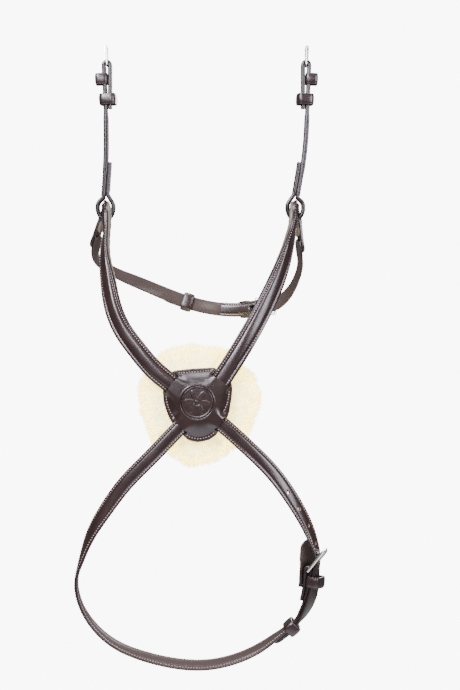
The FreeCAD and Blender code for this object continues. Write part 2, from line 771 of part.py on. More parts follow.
def build_wither_strap():
    end = BuckleEnd(evenly(tab_lead(LEFT) + WITHER_LEFT), size("wither_thickness"), size("wither_bar"), 52)
    buckle_strap("wither_strap", end, size("wither_width"))
    stations, profile = buckled_billet(tab_lead(RIGHT) + WITHER_RIGHT, end, WITHER_BILLET_OVERLAP,
                                      size("wither_width"), 14)
    total = lengths(stations)[-1]
    buckle_hole = total - WITHER_BILLET_OVERLAP - 12
    marks = [buckle_hole + size("hole_pitch") * i for i in range(-1, 5)]
    shape = loft(stations, profile).cut(punch(stations, marks))
    frame_along, frame_out = tipped(end, WITHER_BUCKLE_TIP)
    passage = tongue_passage(end, frame_along, frame_out, "wither")
    add_shape("wither_billet", shape.cut(passage))
    buckle_frame("wither_buckle_frame", end, "wither", frame_along, frame_out)
    tongue("wither_buckle_tongue", end, "wither", frame_along, frame_out)
    fixed_keeper("wither_keeper_fixed", end, "wither", 19, 9.0)
    pitch = size("wither_thickness") + size("ply_gap")
    sliding_keeper("wither_keeper_sliding", end, "wither", 101, 10.0, pitch / 2)


def tipped(end, degrees):
    """Directions of a closed buckle's frame, tipped outward from its strap by its billet."""
    angle = math.radians(degrees)
    along = end.along * math.cos(angle) + end.out * math.sin(angle)
    out = end.out * math.cos(angle) - end.along * math.sin(angle)
    return along, out


def tongue_passage(end, along, out, kind):
    """The punched hole that the closed buckle's tongue goes through."""
    lift = size(f"{kind}_bar") / 2 + size("tongue_height") / 2
    direction = (along * size(f"{kind}_frame_length") + out * lift).normalize()
    start = end.bar_centre + out * 0.6
    return Part.makeCylinder(PASSAGE_RADIUS, 30, start, direction)


# ---------------------------------------------------------------- girth loop
GIRTH_STRAP = [
    ((-16, -0.2, -22), unit(0, -1, 0)), ((-38, -0.4, -45), unit(0, -1, 0)),
    ((-62, -0.2, -70), unit(-0.1, -0.99, 0)), ((-95, 2, -104), unit(-0.3, -0.95, -0.1)),
    ((-120.5, 6, -138.5), unit(-0.6, -0.8, -0.1)), ((-141, 10, -173), unit(-0.85, -0.5, -0.1)),
    ((-153, 14, -205), unit(-0.97, -0.2, -0.1)), ((-159.5, 17, -231), unit(-1, 0, -0.05)),
    ((-152.5, 20, -267), unit(-0.9, 0.1, -0.35)), ((-134.5, 22, -294.5), unit(-0.7, 0.25, -0.65)),
    ((-110.5, 23, -315), unit(-0.45, 0.35, -0.8)), ((-71, 24, -332), unit(-0.25, 0.45, -0.85)),
    ((-25.5, 24, -342), unit(-0.08, 0.5, -0.86)), ((13, 24, -343), unit(0.05, 0.5, -0.86)),
    ((52, 23, -334), unit(0.2, 0.48, -0.85)), ((81.5, 22, -320), unit(0.35, 0.42, -0.82)),
    ((105.5, 20, -303), unit(0.5, 0.35, -0.78)), ((122, 18, -290), unit(0.68, 0.25, -0.68)),
    ((136, 16.5, -272), unit(0.85, 0.0, -0.5)), ((146, 15, -249), unit(0.96, -0.18, -0.22)),
    ((150, 13, -217), unit(0.97, -0.22, -0.12)),
]
GIRTH_BILLET = [
    ((15, -0.2, -13), unit(0, -1, 0)), ((40, -0.4, -34), unit(0, -1, 0)),
    ((63, -0.2, -55), unit(0.1, -0.99, 0.05)), ((96, 3, -88), unit(0.25, -0.95, 0.1)),
    ((124, 7, -126.5), unit(0.5, -0.85, 0.1)), ((145.2, 11.2, -166), unit(0.74, -0.66, 0.1)),
    ((153.2, 11.3, -188), unit(0.9, -0.43, 0.05)), ((156.2, 11.2, -203), unit(0.95, -0.3, -0.02)),
]
GIRTH_BILLET_OVERLAP = 112
GIRTH_HOLES = 5
GIRTH_BUCKLE_TIP = 31       # degrees that the closed frame leans out from its strap
PASSAGE_RADIUS = 2.7        # punched hole that the tongue goes through


def build_girth_loop():
    end = BuckleEnd(evenly(GIRTH_STRAP), size("strap_thickness"), size("girth_bar"), 44)
    buckle_strap("girth_strap", end, size("girth_width"))
    stations, profile = buckled_billet(GIRTH_BILLET, end, GIRTH_BILLET_OVERLAP, size("girth_width"), 12)
    buckle_hole = lengths(stations)[-1] - GIRTH_BILLET_OVERLAP - 15.3
    marks = [buckle_hole - size("hole_pitch") * i for i in range(1, GIRTH_HOLES)]
    shape = loft(stations, profile).cut(punch(stations, marks))
    along, out = tipped(end, GIRTH_BUCKLE_TIP)
    add_shape("girth_billet", shape.cut(tongue_passage(end, along, out, "girth")))
    buckle_frame("girth_buckle_frame", end, "girth", along, out)
    tongue("girth_buckle_tongue", end, "girth", along, out)
    fixed_keeper("girth_keeper_fixed", end, "girth", 15, 15.0)
    pitch = size("strap_thickness") + size("ply_gap")
    sliding_keeper("girth_keeper_sliding", end, "girth", 82, 12.5, pitch / 2)
    build_safe(end)
    depth = size("strap_thickness") + 0.6
    return [(evenly(route), size("girth_width") + 1, depth) for route in (GIRTH_STRAP, GIRTH_BILLET)]


def build_safe(end):
    """Buckle safe: a leather leaf sewn inside the turn-back that keeps the buckle off the skin."""
    inner = end.thickness / 2 + 3 * size("ply_gap") + size("safe_thickness") / 2
    route = []
    for distance in (26, 14, 0):
        point, normal = station_at(end.main, end.total - distance)
        route.append((tuple(point - normal * (end.spread(distance) + inner)), -normal))
    route += [((136.2, 15.4, -205), unit(-0.93, 0.36, 0)), ((138.0, 14.2, -192), unit(-0.86, 0.48, 0.15)),
              ((143.4, 13.2, -177), unit(-0.74, 0.5, 0.42))]
    stations = with_round_end(evenly(route, 6), 10)
    profile = flat_profile(size("safe_width"), size("safe_thickness"), last=10)
    add_shape("girth_buckle_safe", loft(stations, profile))


# ---------------------------------------------------------------- build, check, write
def main():
    strap_ends = build_neck_straps()
    for side in SIDE_NAMES:
        build_saddle_strap(side)
    build_wither_strap()
    strap_ends += build_girth_loop()
    build_disc(strap_ends)
    build_pad()
    doc.recompute()
    for obj in doc.Objects:
        if "Invalid" in obj.State or "Error" in obj.State:
            raise RuntimeError(f"{obj.Label} failed to compute: {obj.State}")
    for name, obj in nodes.items():
        if obj.Shape.isNull() or not obj.Shape.isValid():
            raise RuntimeError(f"{name} has no valid shape")
    os.makedirs("parts", exist_ok=True)
    for name, obj in nodes.items():
        obj.Shape.exportStep(f"parts/{name}.step")
        box = obj.Shape.BoundBox
        print(f"{name:26s} {obj.Shape.Volume:10.1f} mm3  {len(obj.Shape.Solids)} solid(s)  "
              f"X {box.XMin:7.1f}..{box.XMax:7.1f}  Y {box.YMin:6.1f}..{box.YMax:6.1f}  "
              f"Z {box.ZMin:7.1f}..{box.ZMax:7.1f}")


main()
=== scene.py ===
"""Looks of the hunting breastplate: leather, stitching, padding, wool and metal.

The straps run along the same routes as their CAD solids.  Route points are
millimetres in the object's frame; meshes are made in metres.
"""
import math
import random

import bmesh
import bpy
import numpy as np
from mathutils import Matrix, Vector, noise


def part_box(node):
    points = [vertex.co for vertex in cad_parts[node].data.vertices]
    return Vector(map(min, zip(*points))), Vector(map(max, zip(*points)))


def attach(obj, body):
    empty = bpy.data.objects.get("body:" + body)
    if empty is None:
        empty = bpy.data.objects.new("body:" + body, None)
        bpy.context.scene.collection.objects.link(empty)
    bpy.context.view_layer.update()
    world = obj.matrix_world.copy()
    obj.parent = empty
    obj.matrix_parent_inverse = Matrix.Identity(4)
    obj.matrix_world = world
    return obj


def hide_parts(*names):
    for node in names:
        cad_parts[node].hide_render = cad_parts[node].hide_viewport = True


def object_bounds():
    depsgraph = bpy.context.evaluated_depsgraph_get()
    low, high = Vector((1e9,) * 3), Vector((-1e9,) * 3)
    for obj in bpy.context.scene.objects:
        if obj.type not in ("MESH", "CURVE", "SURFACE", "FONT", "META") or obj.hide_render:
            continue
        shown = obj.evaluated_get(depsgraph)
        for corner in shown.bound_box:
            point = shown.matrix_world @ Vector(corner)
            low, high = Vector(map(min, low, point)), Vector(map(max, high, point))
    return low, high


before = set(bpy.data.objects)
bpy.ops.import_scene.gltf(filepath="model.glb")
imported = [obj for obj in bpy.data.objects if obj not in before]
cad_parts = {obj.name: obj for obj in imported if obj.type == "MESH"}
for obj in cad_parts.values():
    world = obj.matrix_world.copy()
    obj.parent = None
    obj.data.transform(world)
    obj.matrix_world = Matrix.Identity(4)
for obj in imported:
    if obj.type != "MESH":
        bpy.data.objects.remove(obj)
cad_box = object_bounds()

MM = 0.001
SIDES = {"left": -1, "right": 1}
rng = random.Random(7)


# -------- materials
class Nodes:
    """A material's node tree with short calls for the nodes used here."""

    def __init__(self, name):
        self.material = bpy.data.materials.new(name)
        self.material.use_nodes = True
        self.tree = self.material.node_tree
        self.shader = self.tree.nodes["Principled BSDF"]
        self.place = self.tree.nodes.new("ShaderNodeTexCoord").outputs["Object"]

    def node(self, kind, inputs=None, **settings):
        made = self.tree.nodes.new(kind)
        for key, value in settings.items():
            setattr(made, key, value)
        for key, value in (inputs or {}).items():
            self.put(made.inputs[key], value)
        return made

    def put(self, socket, value):
        if isinstance(value, bpy.types.NodeSocket):
            self.tree.links.new(value, socket)
        else:
            socket.default_value = value

    def noise(self, scale, detail=4.0, roughness=0.55):
        made = self.node("ShaderNodeTexNoise", {"Vector": self.place, "Scale": scale,
                                                "Detail": detail, "Roughness": roughness})
        return made.outputs["Fac"]

    def cells(self, scale):
        return self.node("ShaderNodeTexVoronoi", {"Vector": self.place, "Scale": scale}).outputs["Distance"]

    def ramp(self, factor, stops):
        made = self.node("ShaderNodeValToRGB", {"Fac": factor})
        ramp = made.color_ramp
        for i, (at, colour) in enumerate(stops):
            stop = ramp.elements[i] if i < 2 else ramp.elements.new(at)
            stop.position = at
            stop.color = (*colour, 1)
        return made.outputs["Color"]

    def level(self, factor, low, high):
        made = self.node("ShaderNodeMapRange", {"Value": factor, "From Min": 0.3, "From Max": 0.7,
                                                "To Min": low, "To Max": high})
        return made.outputs["Result"]

    def mix(self, factor, first, second):
        made = self.node("ShaderNodeMix", data_type="RGBA")
        self.put(made.inputs[0], factor)
        self.put(made.inputs[6], first)
        self.put(made.inputs[7], second)
        return made.outputs[2]

    def attribute(self, name):
        return self.node("ShaderNodeAttribute", attribute_name=name).outputs["Fac"]

    def bump(self, height, distance, strength=1.0, below=None):
        made = self.node("ShaderNodeBump", {"Height": height, "Distance": distance, "Strength": strength})
        if below is not None:
            self.put(made.inputs["Normal"], below)
        return made.outputs["Normal"]

    def surface(self, **values):
        for key, value in values.items():
            self.put(self.shader.inputs[key.replace("_", " ")], value)
        return self.material


def leather(name, deep, light, flesh, gloss):
    """Grained leather; the `flesh` attribute marks the raw side and `edge` the painted edge."""
    n = Nodes(name)
    tone = n.ramp(n.noise(28, 4), [(0.35, deep), (0.68, light)])
    raw = n.ramp(n.noise(900, 6, 0.7), [(0.3, [c * 0.8 for c in flesh]), (0.7, flesh)])
    colour = n.mix(n.attribute("flesh"), tone, raw)
    colour = n.mix(n.attribute("edge"), colour, (*[c * 0.55 for c in deep], 1))
    grain = n.bump(n.cells(1700), 0.0001, 0.4)
    creases = n.bump(n.noise(40, 2, 0.4), 0.0005, 0.12, grain)
    shine = n.level(n.noise(60, 3), gloss - 0.02, gloss + 0.04)
    rough = n.node("ShaderNodeMath", {0: shine, 1: n.attribute("flesh")}, operation="MAXIMUM")
    rough = n.node("ShaderNodeMath", {0: rough.outputs[0], 1: 0.78}, operation="MINIMUM").outputs[0]
    return n.surface(Base_Color=colour, Roughness=rough, Normal=creases, Specular_IOR_Level=0.5,
                     Specular_Tint=(0.88, 0.88, 1.0, 1.0), Coat_Weight=0.14, Coat_Roughness=0.2)


def thread():
    n = Nodes("waxed_thread")
    twist = n.node("ShaderNodeTexWave", {"Vector": n.place, "Scale": 900.0, "Distortion": 2.0})
    colour = n.ramp(n.noise(700, 3), [(0.3, (0.17, 0.10, 0.10)), (0.75, (0.40, 0.30, 0.29))])
    return n.surface(Base_Color=colour, Roughness=0.38, Specular_IOR_Level=0.7,
                     Normal=n.bump(twist.outputs["Fac"], 0.0001, 0.6))


def metal():
    n = Nodes("buckle_metal_polished")
    colour = n.ramp(n.noise(90, 4), [(0.3, (0.62, 0.61, 0.58)), (0.7, (0.83, 0.82, 0.79))])
    brushed = n.bump(n.noise(2600, 3), 0.00004, 0.5)
    return n.surface(Base_Color=colour, Metallic=1.0, Roughness=n.level(n.noise(400, 4), 0.14, 0.30),
                     Normal=brushed)


def wool():
    n = Nodes("cream_wool_glowing")
    colour = n.ramp(n.noise(70, 5), [(0.3, (1.0, 0.90, 0.46)), (0.62, (1.0, 0.96, 0.70))])
    curl = n.bump(n.noise(520, 6, 0.7), 0.0008, 0.5)
    # Painted light: a warm self-glow (emission) makes the wool look brightly lit; the wool glows though it is
    # no lamp.
    return n.surface(Base_Color=colour, Roughness=0.92, Normal=curl, Sheen_Weight=0.2,
                     Emission_Color=(1.0, 0.80, 0.22, 1.0), Emission_Strength=2.2)


def cloth(name, dark, light, scale, depth):
    n = Nodes(name)
    colour = n.ramp(n.noise(scale, 4, 0.7), [(0.3, dark), (0.7, light)])
    return n.surface(Base_Color=colour, Roughness=0.93, Normal=n.bump(n.cells(scale * 1.4), depth, 0.9))


DARK = leather("dark_leather_waxed", (0.0125, 0.0056, 0.0052), (0.0185, 0.0088, 0.0078),
               (0.032, 0.018, 0.014), 0.28)
BACKING = leather("backing_leather_raw", (0.030, 0.019, 0.015), (0.042, 0.028, 0.022),
                  (0.042, 0.028, 0.022), 0.62)
LINING = leather("lining_leather_soft", (0.078, 0.056, 0.040), (0.112, 0.083, 0.060),
                 (0.10, 0.074, 0.054), 0.52)
THREAD = thread()
METAL = metal()
GLOWING_WOOL = wool()
FELT = cloth("core_felt_grey", (0.07, 0.06, 0.055), (0.13, 0.11, 0.10), 800, 0.0003)
RAW = cloth("hole_wall_raw", (0.20, 0.10, 0.07), (0.30, 0.17, 0.12), 900, 0.0002)
TAPE = cloth("tape_hooks", (0.02, 0.018, 0.016), (0.06, 0.05, 0.045), 1300, 0.0005)


# -------- meshes
def placed(name, data):
    obj = bpy.data.objects.new(name, data)
    bpy.context.scene.collection.objects.link(obj)
    return obj


def new_mesh(name, vertices, faces, material, smooth=40):
    """A mesh object from millimetre vertices, smooth except at sharp angles."""
    mesh = bpy.data.meshes.new(name)
    mesh.from_pydata([tuple(c * MM for c in v) for v in vertices], [], faces)
    mesh.materials.append(material)
    mesh.validate()
    mesh.polygons.foreach_set("use_smooth", [True] * len(mesh.polygons))
    mesh.set_sharp_from_angle(angle=math.radians(smooth))
    mesh.update()
    return placed(name, mesh)


def paint(obj, edge, flesh):
    """Two values per vertex that the leather reads: painted edge and raw flesh side."""
    for name, values in (("edge", edge), ("flesh", flesh)):
        obj.data.attributes.new(name, "FLOAT", "POINT").data.foreach_set("value", values)


def finish_piece(obj, node=None, body="harness"):
    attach(obj, body)
    if node:
        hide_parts(node)


def circle(centre, side, other, radius, count):
    turns = [2 * math.pi * k / count for k in range(count)]
    return [centre + (side * math.cos(turn) + other * math.sin(turn)) * radius for turn in turns]


def tube_faces(rings, around, closed=False):
    """Quads between rings of `around` vertices, with caps unless the tube closes on itself."""
    faces = []
    for i in range(rings if closed else rings - 1):
        j = (i + 1) % rings
        for k in range(around):
            m = (k + 1) % around
            faces.append((i * around + k, i * around + m, j * around + m, j * around + k))
    if not closed:
        faces.append(tuple(reversed(range(around))))
        faces.append(tuple(range((rings - 1) * around, rings * around)))
    return faces


# -------- strap routes
def spline(points, at, marks):
    """Natural cubic spline through the route's points."""
    p = np.array(points, float)
    t = np.array(at, float)
    n = len(t)
    h = np.diff(t)
    a = np.eye(n)
    b = np.zeros_like(p)
    for i in range(1, n - 1):
        a[i, i - 1], a[i, i], a[i, i + 1] = h[i - 1], 2 * (h[i - 1] + h[i]), h[i]
        b[i] = 6 * ((p[i + 1] - p[i]) / h[i] - (p[i] - p[i - 1]) / h[i - 1])
    bend = np.linalg.solve(a, b)
    found = []
    for mark in marks:
        i = min(max(int(np.searchsorted(t, mark)) - 1, 0), n - 2)
        u, v = (t[i + 1] - mark) / h[i], (mark - t[i]) / h[i]
        q = u * p[i] + v * p[i + 1] + ((u ** 3 - u) * bend[i] + (v ** 3 - v) * bend[i + 1]) * h[i] ** 2 / 6
        found.append(Vector(q))
    return found


def turned(normals, at, mark):
    """Normal at one distance: a smooth (Catmull-Rom) blend of the route's normals."""
    last = len(at) - 2
    i = next((k for k in range(last + 1) if at[k + 1] >= mark), last)
    s = (mark - at[i]) / (at[i + 1] - at[i])
    before, start, end, after = (normals[min(max(k, 0), last + 1)] for k in range(i - 1, i + 3))
    bend, next_bend = (end - before) * 0.5, (after - start) * 0.5
    mixed = (start * (2 * s ** 3 - 3 * s ** 2 + 1) + bend * (s ** 3 - 2 * s ** 2 + s)
             + end * (3 * s ** 2 - 2 * s ** 3) + next_bend * (s ** 3 - s ** 2))
    return mixed.normalized()


def evenly(route, step=4.0):
    """Even stations (point, normal) along a given route."""
    points = [Vector(point) for point, _ in route]
    normals = [Vector(normal).normalized() for _, normal in route]
    at = lengths(list(zip(points, normals)))
    count = max(2, round(at[-1] / step))
    marks = [at[-1] * i / count for i in range(count + 1)]
    return [(p, turned(normals, at, m)) for p, m in zip(spline(points, at, marks), marks)]


def lengths(stations):
    run = [0.0]
    for (before, _), (after, _) in zip(stations, stations[1:]):
        run.append(run[-1] + (after - before).length)
    return run


def station_at(stations, distance):
    run = lengths(stations)
    for i in range(1, len(stations)):
        if run[i] >= distance or i == len(stations) - 1:
            share = (distance - run[i - 1]) / (run[i] - run[i - 1])
            (before, first), (after, second) = stations[i - 1], stations[i]
            return before.lerp(after, share), first.lerp(second, share).normalized()


def between(stations, start, end):
    run = lengths(stations)
    inner = [s for s, at in zip(stations, run) if start + 1 < at < end - 1]
    return [station_at(stations, start)] + inner + [station_at(stations, end)]


def raised(stations, offset):
    return [(point + normal * offset, normal) for point, normal in stations]


def with_round_end(stations, radius):
    """Extra stations in the last `radius` millimetres, so that the end can be rounded."""
    run = lengths(stations)
    body = [station for station, at in zip(stations, run) if at < run[-1] - radius - 1]
    shares = (1.0, 0.85, 0.7, 0.55, 0.42, 0.3, 0.2, 0.12, 0.06, 0.02, 0.0)
    return body + [station_at(stations, run[-1] - radius * share) for share in shares]


def axes_at(stations, i):
    """(point, across, out, along) of one station."""
    point, normal = stations[i]
    along = (stations[min(i + 1, len(stations) - 1)][0] - stations[max(i - 1, 0)][0]).normalized()
    out = (normal - along * normal.dot(along)).normalized()
    return point, along.cross(out), out, along


def rounded_end(distance, radius):
    if distance >= radius:
        return 1.0
    return max(0.12, math.sqrt(1 - (1 - distance / radius) ** 2))


# -------- strap sections
def mirrored(points):
    return [(-a, o, e, f) for a, o, e, f in reversed(points)]


def power(value, exponent):
    """Power that keeps the value's sign."""
    return math.copysign(abs(value) ** exponent, value)


def flat_section(half, thick, crown=0.25, crease=0.3):
    """Flat strap: rounded edges, a creased line near each edge, a faint crown between.

    Points are (across, out, edge, flesh), all the way round.
    """
    t = thick / 2
    soft = min(2.4, t * 0.9, half * 0.5)
    line = max(half - 3.0, half * 0.6)
    points = []
    for angle in (0, 22.5, 45, 67.5, 90):
        turn = math.radians(angle)
        points.append((half - soft + soft * math.cos(turn), t - soft + soft * math.sin(turn),
                       1 - angle / 90, 0))
    points += [(line + 0.55, t, 0, 0), (line, t - crease, 0, 0), (line - 0.55, t + 0.05, 0, 0),
               (line * 0.5, t + crown * 0.8, 0, 0), (0, t + crown, 0, 0)]
    points += mirrored(points[:-1])
    back = []
    for share in (0.25, 0.5, 0.75, 1.0):
        turn = math.pi * (1 + share / 2)
        back.append((-(half - soft) + soft * math.cos(turn), -t + soft + soft * math.sin(turn),
                     1 - share, share))
    return points + back + [(0, -t, 0, 1)] + mirrored(back)


def ridged_section(half, thick, rise=0.9):
    """Girth strap: stitched flanges beside a rounded, raised centre, front and back alike."""
    t = thick / 2
    soft = min(1.6, half * 0.5)
    foot = max(half - 4.4, half * 0.5)
    quarter = []
    for angle in (0, 30, 60, 90):
        turn = math.radians(angle)
        quarter.append((half - soft + soft * math.cos(turn), t - soft - 0.2 + soft * math.sin(turn),
                        1 - angle / 90, 0))
    quarter += [(foot + 0.8, t - 0.2, 0, 0), (foot, t - 0.45, 0, 0)]
    for angle in (20, 45, 70, 90):
        turn = math.radians(angle)
        quarter.append((foot * 0.94 * math.cos(turn) ** 0.8, t - 0.2 + rise * math.sin(turn), 0, 0))
    points = quarter + mirrored(quarter[:-1])
    return points + [(-a, -o, e, 1 - e) for a, o, e, f in points[1:-1]]


def raised_section(half, flat, height):
    """Neck strap: thin flanges, a sunk stitching line and a round raised centre."""
    soft = min(0.9, half * 0.4)
    foot = half * NECK_FOOT
    points = [(half, 0.4, 1, 0), (half, flat - soft, 1, 0), (half - soft * 0.3, flat - soft * 0.3, 0.6, 0),
              (half - soft, flat, 0, 0), (foot + 1.0, flat, 0, 0), (foot, flat - 0.45 * min(1, height), 0, 0)]
    for angle in (15, 35, 55, 75, 90):
        turn = math.radians(angle)
        points.append((foot * 0.92 * math.cos(turn) ** 0.8, flat + height * math.sin(turn) ** 0.9, 0, 0))
    points += mirrored(points[:-1])
    points += [(-half + 0.5, 0, 0.5, 1), (0, 0, 0, 1), (half - 0.5, 0, 0.5, 1)]
    return points


def cushion_section(half, thick):
    """Padded lining: round sides and a gently domed back."""
    points = []
    for step in range(0, 19):
        turn = math.pi * step / 18
        points.append((power(math.cos(turn), 0.55) * half, -0.15 - thick * math.sin(turn) ** 0.6, 0, 0))
    points += [(-half * 0.5, -0.1, 0, 0), (0, -0.1, 0, 0), (half * 0.5, -0.1, 0, 0)]
    return list(reversed(points))


def sweep(name, stations, section, material=DARK):
    """A solid strap: section(run, total) at every station."""
    run = lengths(stations)
    vertices, edge, flesh = [], [], []
    for i in range(len(stations)):
        point, across, out, _ = axes_at(stations, i)
        ring = section(run[i], run[-1])
        for a, o, e, f in ring:
            vertices.append(point + across * a + out * o)
            edge.append(e)
            flesh.append(f)
    obj = new_mesh(name, vertices, tube_faces(len(stations), len(ring)), material, 50)
    paint(obj, edge, flesh)
    return obj


def flat_strap(width, thick, first=0.0, last=0.0, **details):
    """Section maker of a plain strap whose ends may be rounded."""
    def section(run, total):
        factor = min(rounded_end(run, first), rounded_end(total - run, last))
        return flat_section(width / 2 * factor, thick, **details)
    return section


# -------- stitches
STITCH_PITCH = 3.6
STITCH_LENGTH = 2.3
STITCH_SLANT = 0.14
STITCH_INSET = 2.4          # from the edge of a flat strap
STITCH_RADIUS = 0.64
STITCH_FORM = (             # place along half the length, thickness and lift as shares of the radius
    (-1.0, 0.35, -0.75), (-0.6, 0.95, 0.0), (0.0, 1.0, 0.12), (0.6, 0.95, 0.0), (1.0, 0.35, -0.75),
)


class Stitching:
    """Collects stitches and makes them one piece."""

    def __init__(self):
        self.vertices = []
        self.faces = []

    def add(self, centre, along, up):
        side = along.cross(up)
        first = len(self.vertices)
        for at, girth, lift in STITCH_FORM:
            middle = centre + along * (at * STITCH_LENGTH / 2) + up * (lift * STITCH_RADIUS)
            for k in range(6):
                turn = math.pi * k / 3
                self.vertices.append(middle + (side * math.cos(turn) + up * math.sin(turn))
                                     * STITCH_RADIUS * girth)
        self.faces += [tuple(first + v for v in face) for face in tube_faces(len(STITCH_FORM), 6)]

    def rows(self, stations, across, out, start, end):
        """A row along each side of a strap; `across` may be a function of the run."""
        run = lengths(stations)
        for edge in (-1, 1):
            for i in range(int((end - start) / STITCH_PITCH)):
                mark = start + (i + 0.5) * STITCH_PITCH
                k = min(range(len(run)), key=lambda j: abs(run[j] - mark))
                point, side, up, along = axes_at(stations, k)
                point = point + along * (mark - run[k])
                away = edge * (across(mark) if callable(across) else across)
                self.add(point + side * away + up * out, (along + side * STITCH_SLANT).normalized(), up)

    def piece(self, name, body="harness"):
        finish_piece(new_mesh(name, self.vertices, self.faces, THREAD, 60), body=body)


# -------- buckled strap ends
FOLD_PLAY = 0.35
PLY_GAP = 0.5


class BuckleEnd:
    """A strap's end turned round a heel bar: main ply outside, tail inside."""

    def __init__(self, main, thickness, bar, tail_length):
        self.thickness = thickness
        self.radius = bar / 2 + FOLD_PLAY + thickness / 2
        self.main = main
        self.total = lengths(main)[-1]
        point, self.out = main[-1]
        along = point - main[-2][0]
        self.along = (along - self.out * along.dot(self.out)).normalized()
        self.bar_centre = point - self.out * self.radius
        self.tail_length = tail_length

    def spread(self, distance):
        closed = self.thickness + PLY_GAP
        return closed + (2 * self.radius - closed) * max(0, 1 - distance / (self.tail_length + 4))

    def tail(self):
        fold = []
        for angle in range(12, 180, 12):
            turn = math.radians(angle)
            direction = self.out * math.cos(turn) + self.along * math.sin(turn)
            fold.append((self.bar_centre + direction * self.radius, direction))
        tail = []
        for i in range(15):
            distance = self.tail_length * i / 14
            point, normal = station_at(self.main, self.total - distance)
            tail.append((point - normal * self.spread(distance), -normal))
        return fold + tail

    def stations(self):
        return self.main + self.tail()

    def at(self, distance):
        """(point, along, out) of the main ply, `distance` below the bar."""
        point, normal = station_at(self.main, self.total - distance)
        along = (station_at(self.main, self.total - distance + 2)[0] - point).normalized()
        return point, along, (normal - along * normal.dot(along)).normalized()


SLOT_WIDTH = 5.6
SLOT_START = 9.0            # how far the slot reaches down the strap from the bar
HOLE_RADIUS, HOLE_PITCH, PUNCH_REACH = 2.2, 25.0, 7.0
WELD_REACH = 1e-7


def cut_slot(obj, end):
    """Opens the tongue's slot in the fold with a boolean, applied at once."""
    reach = 2 * (end.radius + end.thickness)
    length = end.radius + end.thickness + SLOT_START
    across = end.along.cross(end.out)
    middle = end.bar_centre + end.along * (length / 2 - SLOT_START)
    half = (across * (SLOT_WIDTH / 2), end.out * (reach / 2), end.along * (length / 2))
    corners = [middle + half[0] * x + half[1] * y + half[2] * z
               for x in (-1, 1) for y in (-1, 1) for z in (-1, 1)]
    faces = [(0, 1, 3, 2), (4, 6, 7, 5), (0, 4, 5, 1), (2, 3, 7, 6), (0, 2, 6, 4), (1, 5, 7, 3)]
    apply_cut(obj, new_mesh("slot_tool", corners, faces, DARK))


def punch(obj, stations, first_hole, step):
    """Punches five round holes through a billet."""
    vertices, faces = [], []
    for i in range(5):
        point, normal = station_at(stations, first_hole + step * i)
        side = normal.orthogonal().normalized()
        other = normal.cross(side)
        first = len(vertices)
        for level in (-PUNCH_REACH, PUNCH_REACH):
            vertices += circle(point + normal * level, side, other, HOLE_RADIUS, 20)
        faces += [tuple(first + v for v in face) for face in tube_faces(2, 20)]
    apply_cut(obj, new_mesh("punch_tool", vertices, faces, RAW))


def apply_cut(obj, tool):
    for part in (obj, tool):
        fix_normals(part)
    cut = obj.modifiers.new("cut", "BOOLEAN")
    cut.operation = "DIFFERENCE"
    cut.solver = "EXACT"
    cut.material_mode = "TRANSFER"
    cut.object = tool
    bpy.context.view_layer.update()
    done = bpy.data.meshes.new_from_object(obj.evaluated_get(bpy.context.evaluated_depsgraph_get()))
    obj.modifiers.clear()
    obj.data = done
    bpy.data.objects.remove(tool)


def fix_normals(obj, weld=False):
    """Turns all faces outward, first joining vertices that coincide if `weld` is set."""
    work = bmesh.new()
    work.from_mesh(obj.data)
    if weld:
        bmesh.ops.remove_doubles(work, verts=work.verts, dist=WELD_REACH)
    bmesh.ops.recalc_face_normals(work, faces=work.faces)
    work.to_mesh(obj.data)
    work.free()


# -------- keepers
KEEPER_HEIGHT = 15.0
KEEPER_POWER, KEEPER_STEPS = 5.0, 44        # squareness of the loop and points round it


def band_path(half_x, half_y):
    """Rectangle with bulged sides and round corners as (x, y, normal x, normal y) points."""
    path = []
    for i in range(KEEPER_STEPS):
        turn = 2 * math.pi * (i + 0.5) / KEEPER_STEPS
        x, y = (power(value, 2 / KEEPER_POWER) for value in (math.cos(turn), math.sin(turn)))
        nx, ny = power(x, KEEPER_POWER - 1) / half_x, power(y, KEEPER_POWER - 1) / half_y
        size = math.hypot(nx, ny)
        path.append((x * half_x, y * half_y, nx / size, ny / size))
    return path


def keeper(node, body, centre, along, out, hole, wall, turn=0.0):
    """Leather loop with softly rounded, creased edges."""
    spin = Matrix.Rotation(math.radians(turn), 3, along)
    across = spin @ along.cross(out)
    out = spin @ out
    path = band_path(hole[0] / 2 + wall / 2, hole[1] / 2 + wall / 2)
    h, w = KEEPER_HEIGHT / 2, wall / 2
    upper = [(w + 0.4, h / 2), (w + 0.05, h - 2.1), (w - 0.2, h - 1.5), (w - 0.1, h - 0.9),
             (w * 0.7, h - 0.25), (0, h), (-w * 0.75, h - 0.25), (-w, h - 0.9)]
    lower = [(o, -z) for o, z in reversed(upper)]
    section = lower[4:] + [(w + 0.5, 0)] + upper + lower[:4]
    vertices, edge, flesh = [], [], []
    for x, y, nx, ny in path:
        for o, z in section:
            vertices.append(centre + across * (x + nx * o) + out * (y + ny * o) + along * z)
            edge.append(1.0 if abs(z) > h - 0.6 else 0.0)
            flesh.append(1.0 if o < -w * 0.9 else 0.0)
    obj = new_mesh(node + "_loop", vertices, tube_faces(len(path), len(section), closed=True), DARK, 60)
    fix_normals(obj)
    paint(obj, edge, flesh)
    finish_piece(obj, node, body)


SIDE_PLAY = 0.6
FIXED_WALL, SLIDING_WALL = 1.6, 2.3


def fixed_keeper(node, body, end, width, distance, room):
    point, along, out = end.at(distance)
    centre = point + out * (room / 2 - end.thickness / 2 - 0.8 * PLY_GAP)
    keeper(node, body, centre, along, out, (width + 2 * SIDE_PLAY, room), FIXED_WALL)


def sliding_keeper(node, body, end, width, distance, room, shift, turn=0.0, extra=0.0):
    point, along, out = end.at(distance)
    keeper(node, body, point + out * shift, along, out,
           (width + 2 * SIDE_PLAY + extra, room), SLIDING_WALL, turn)


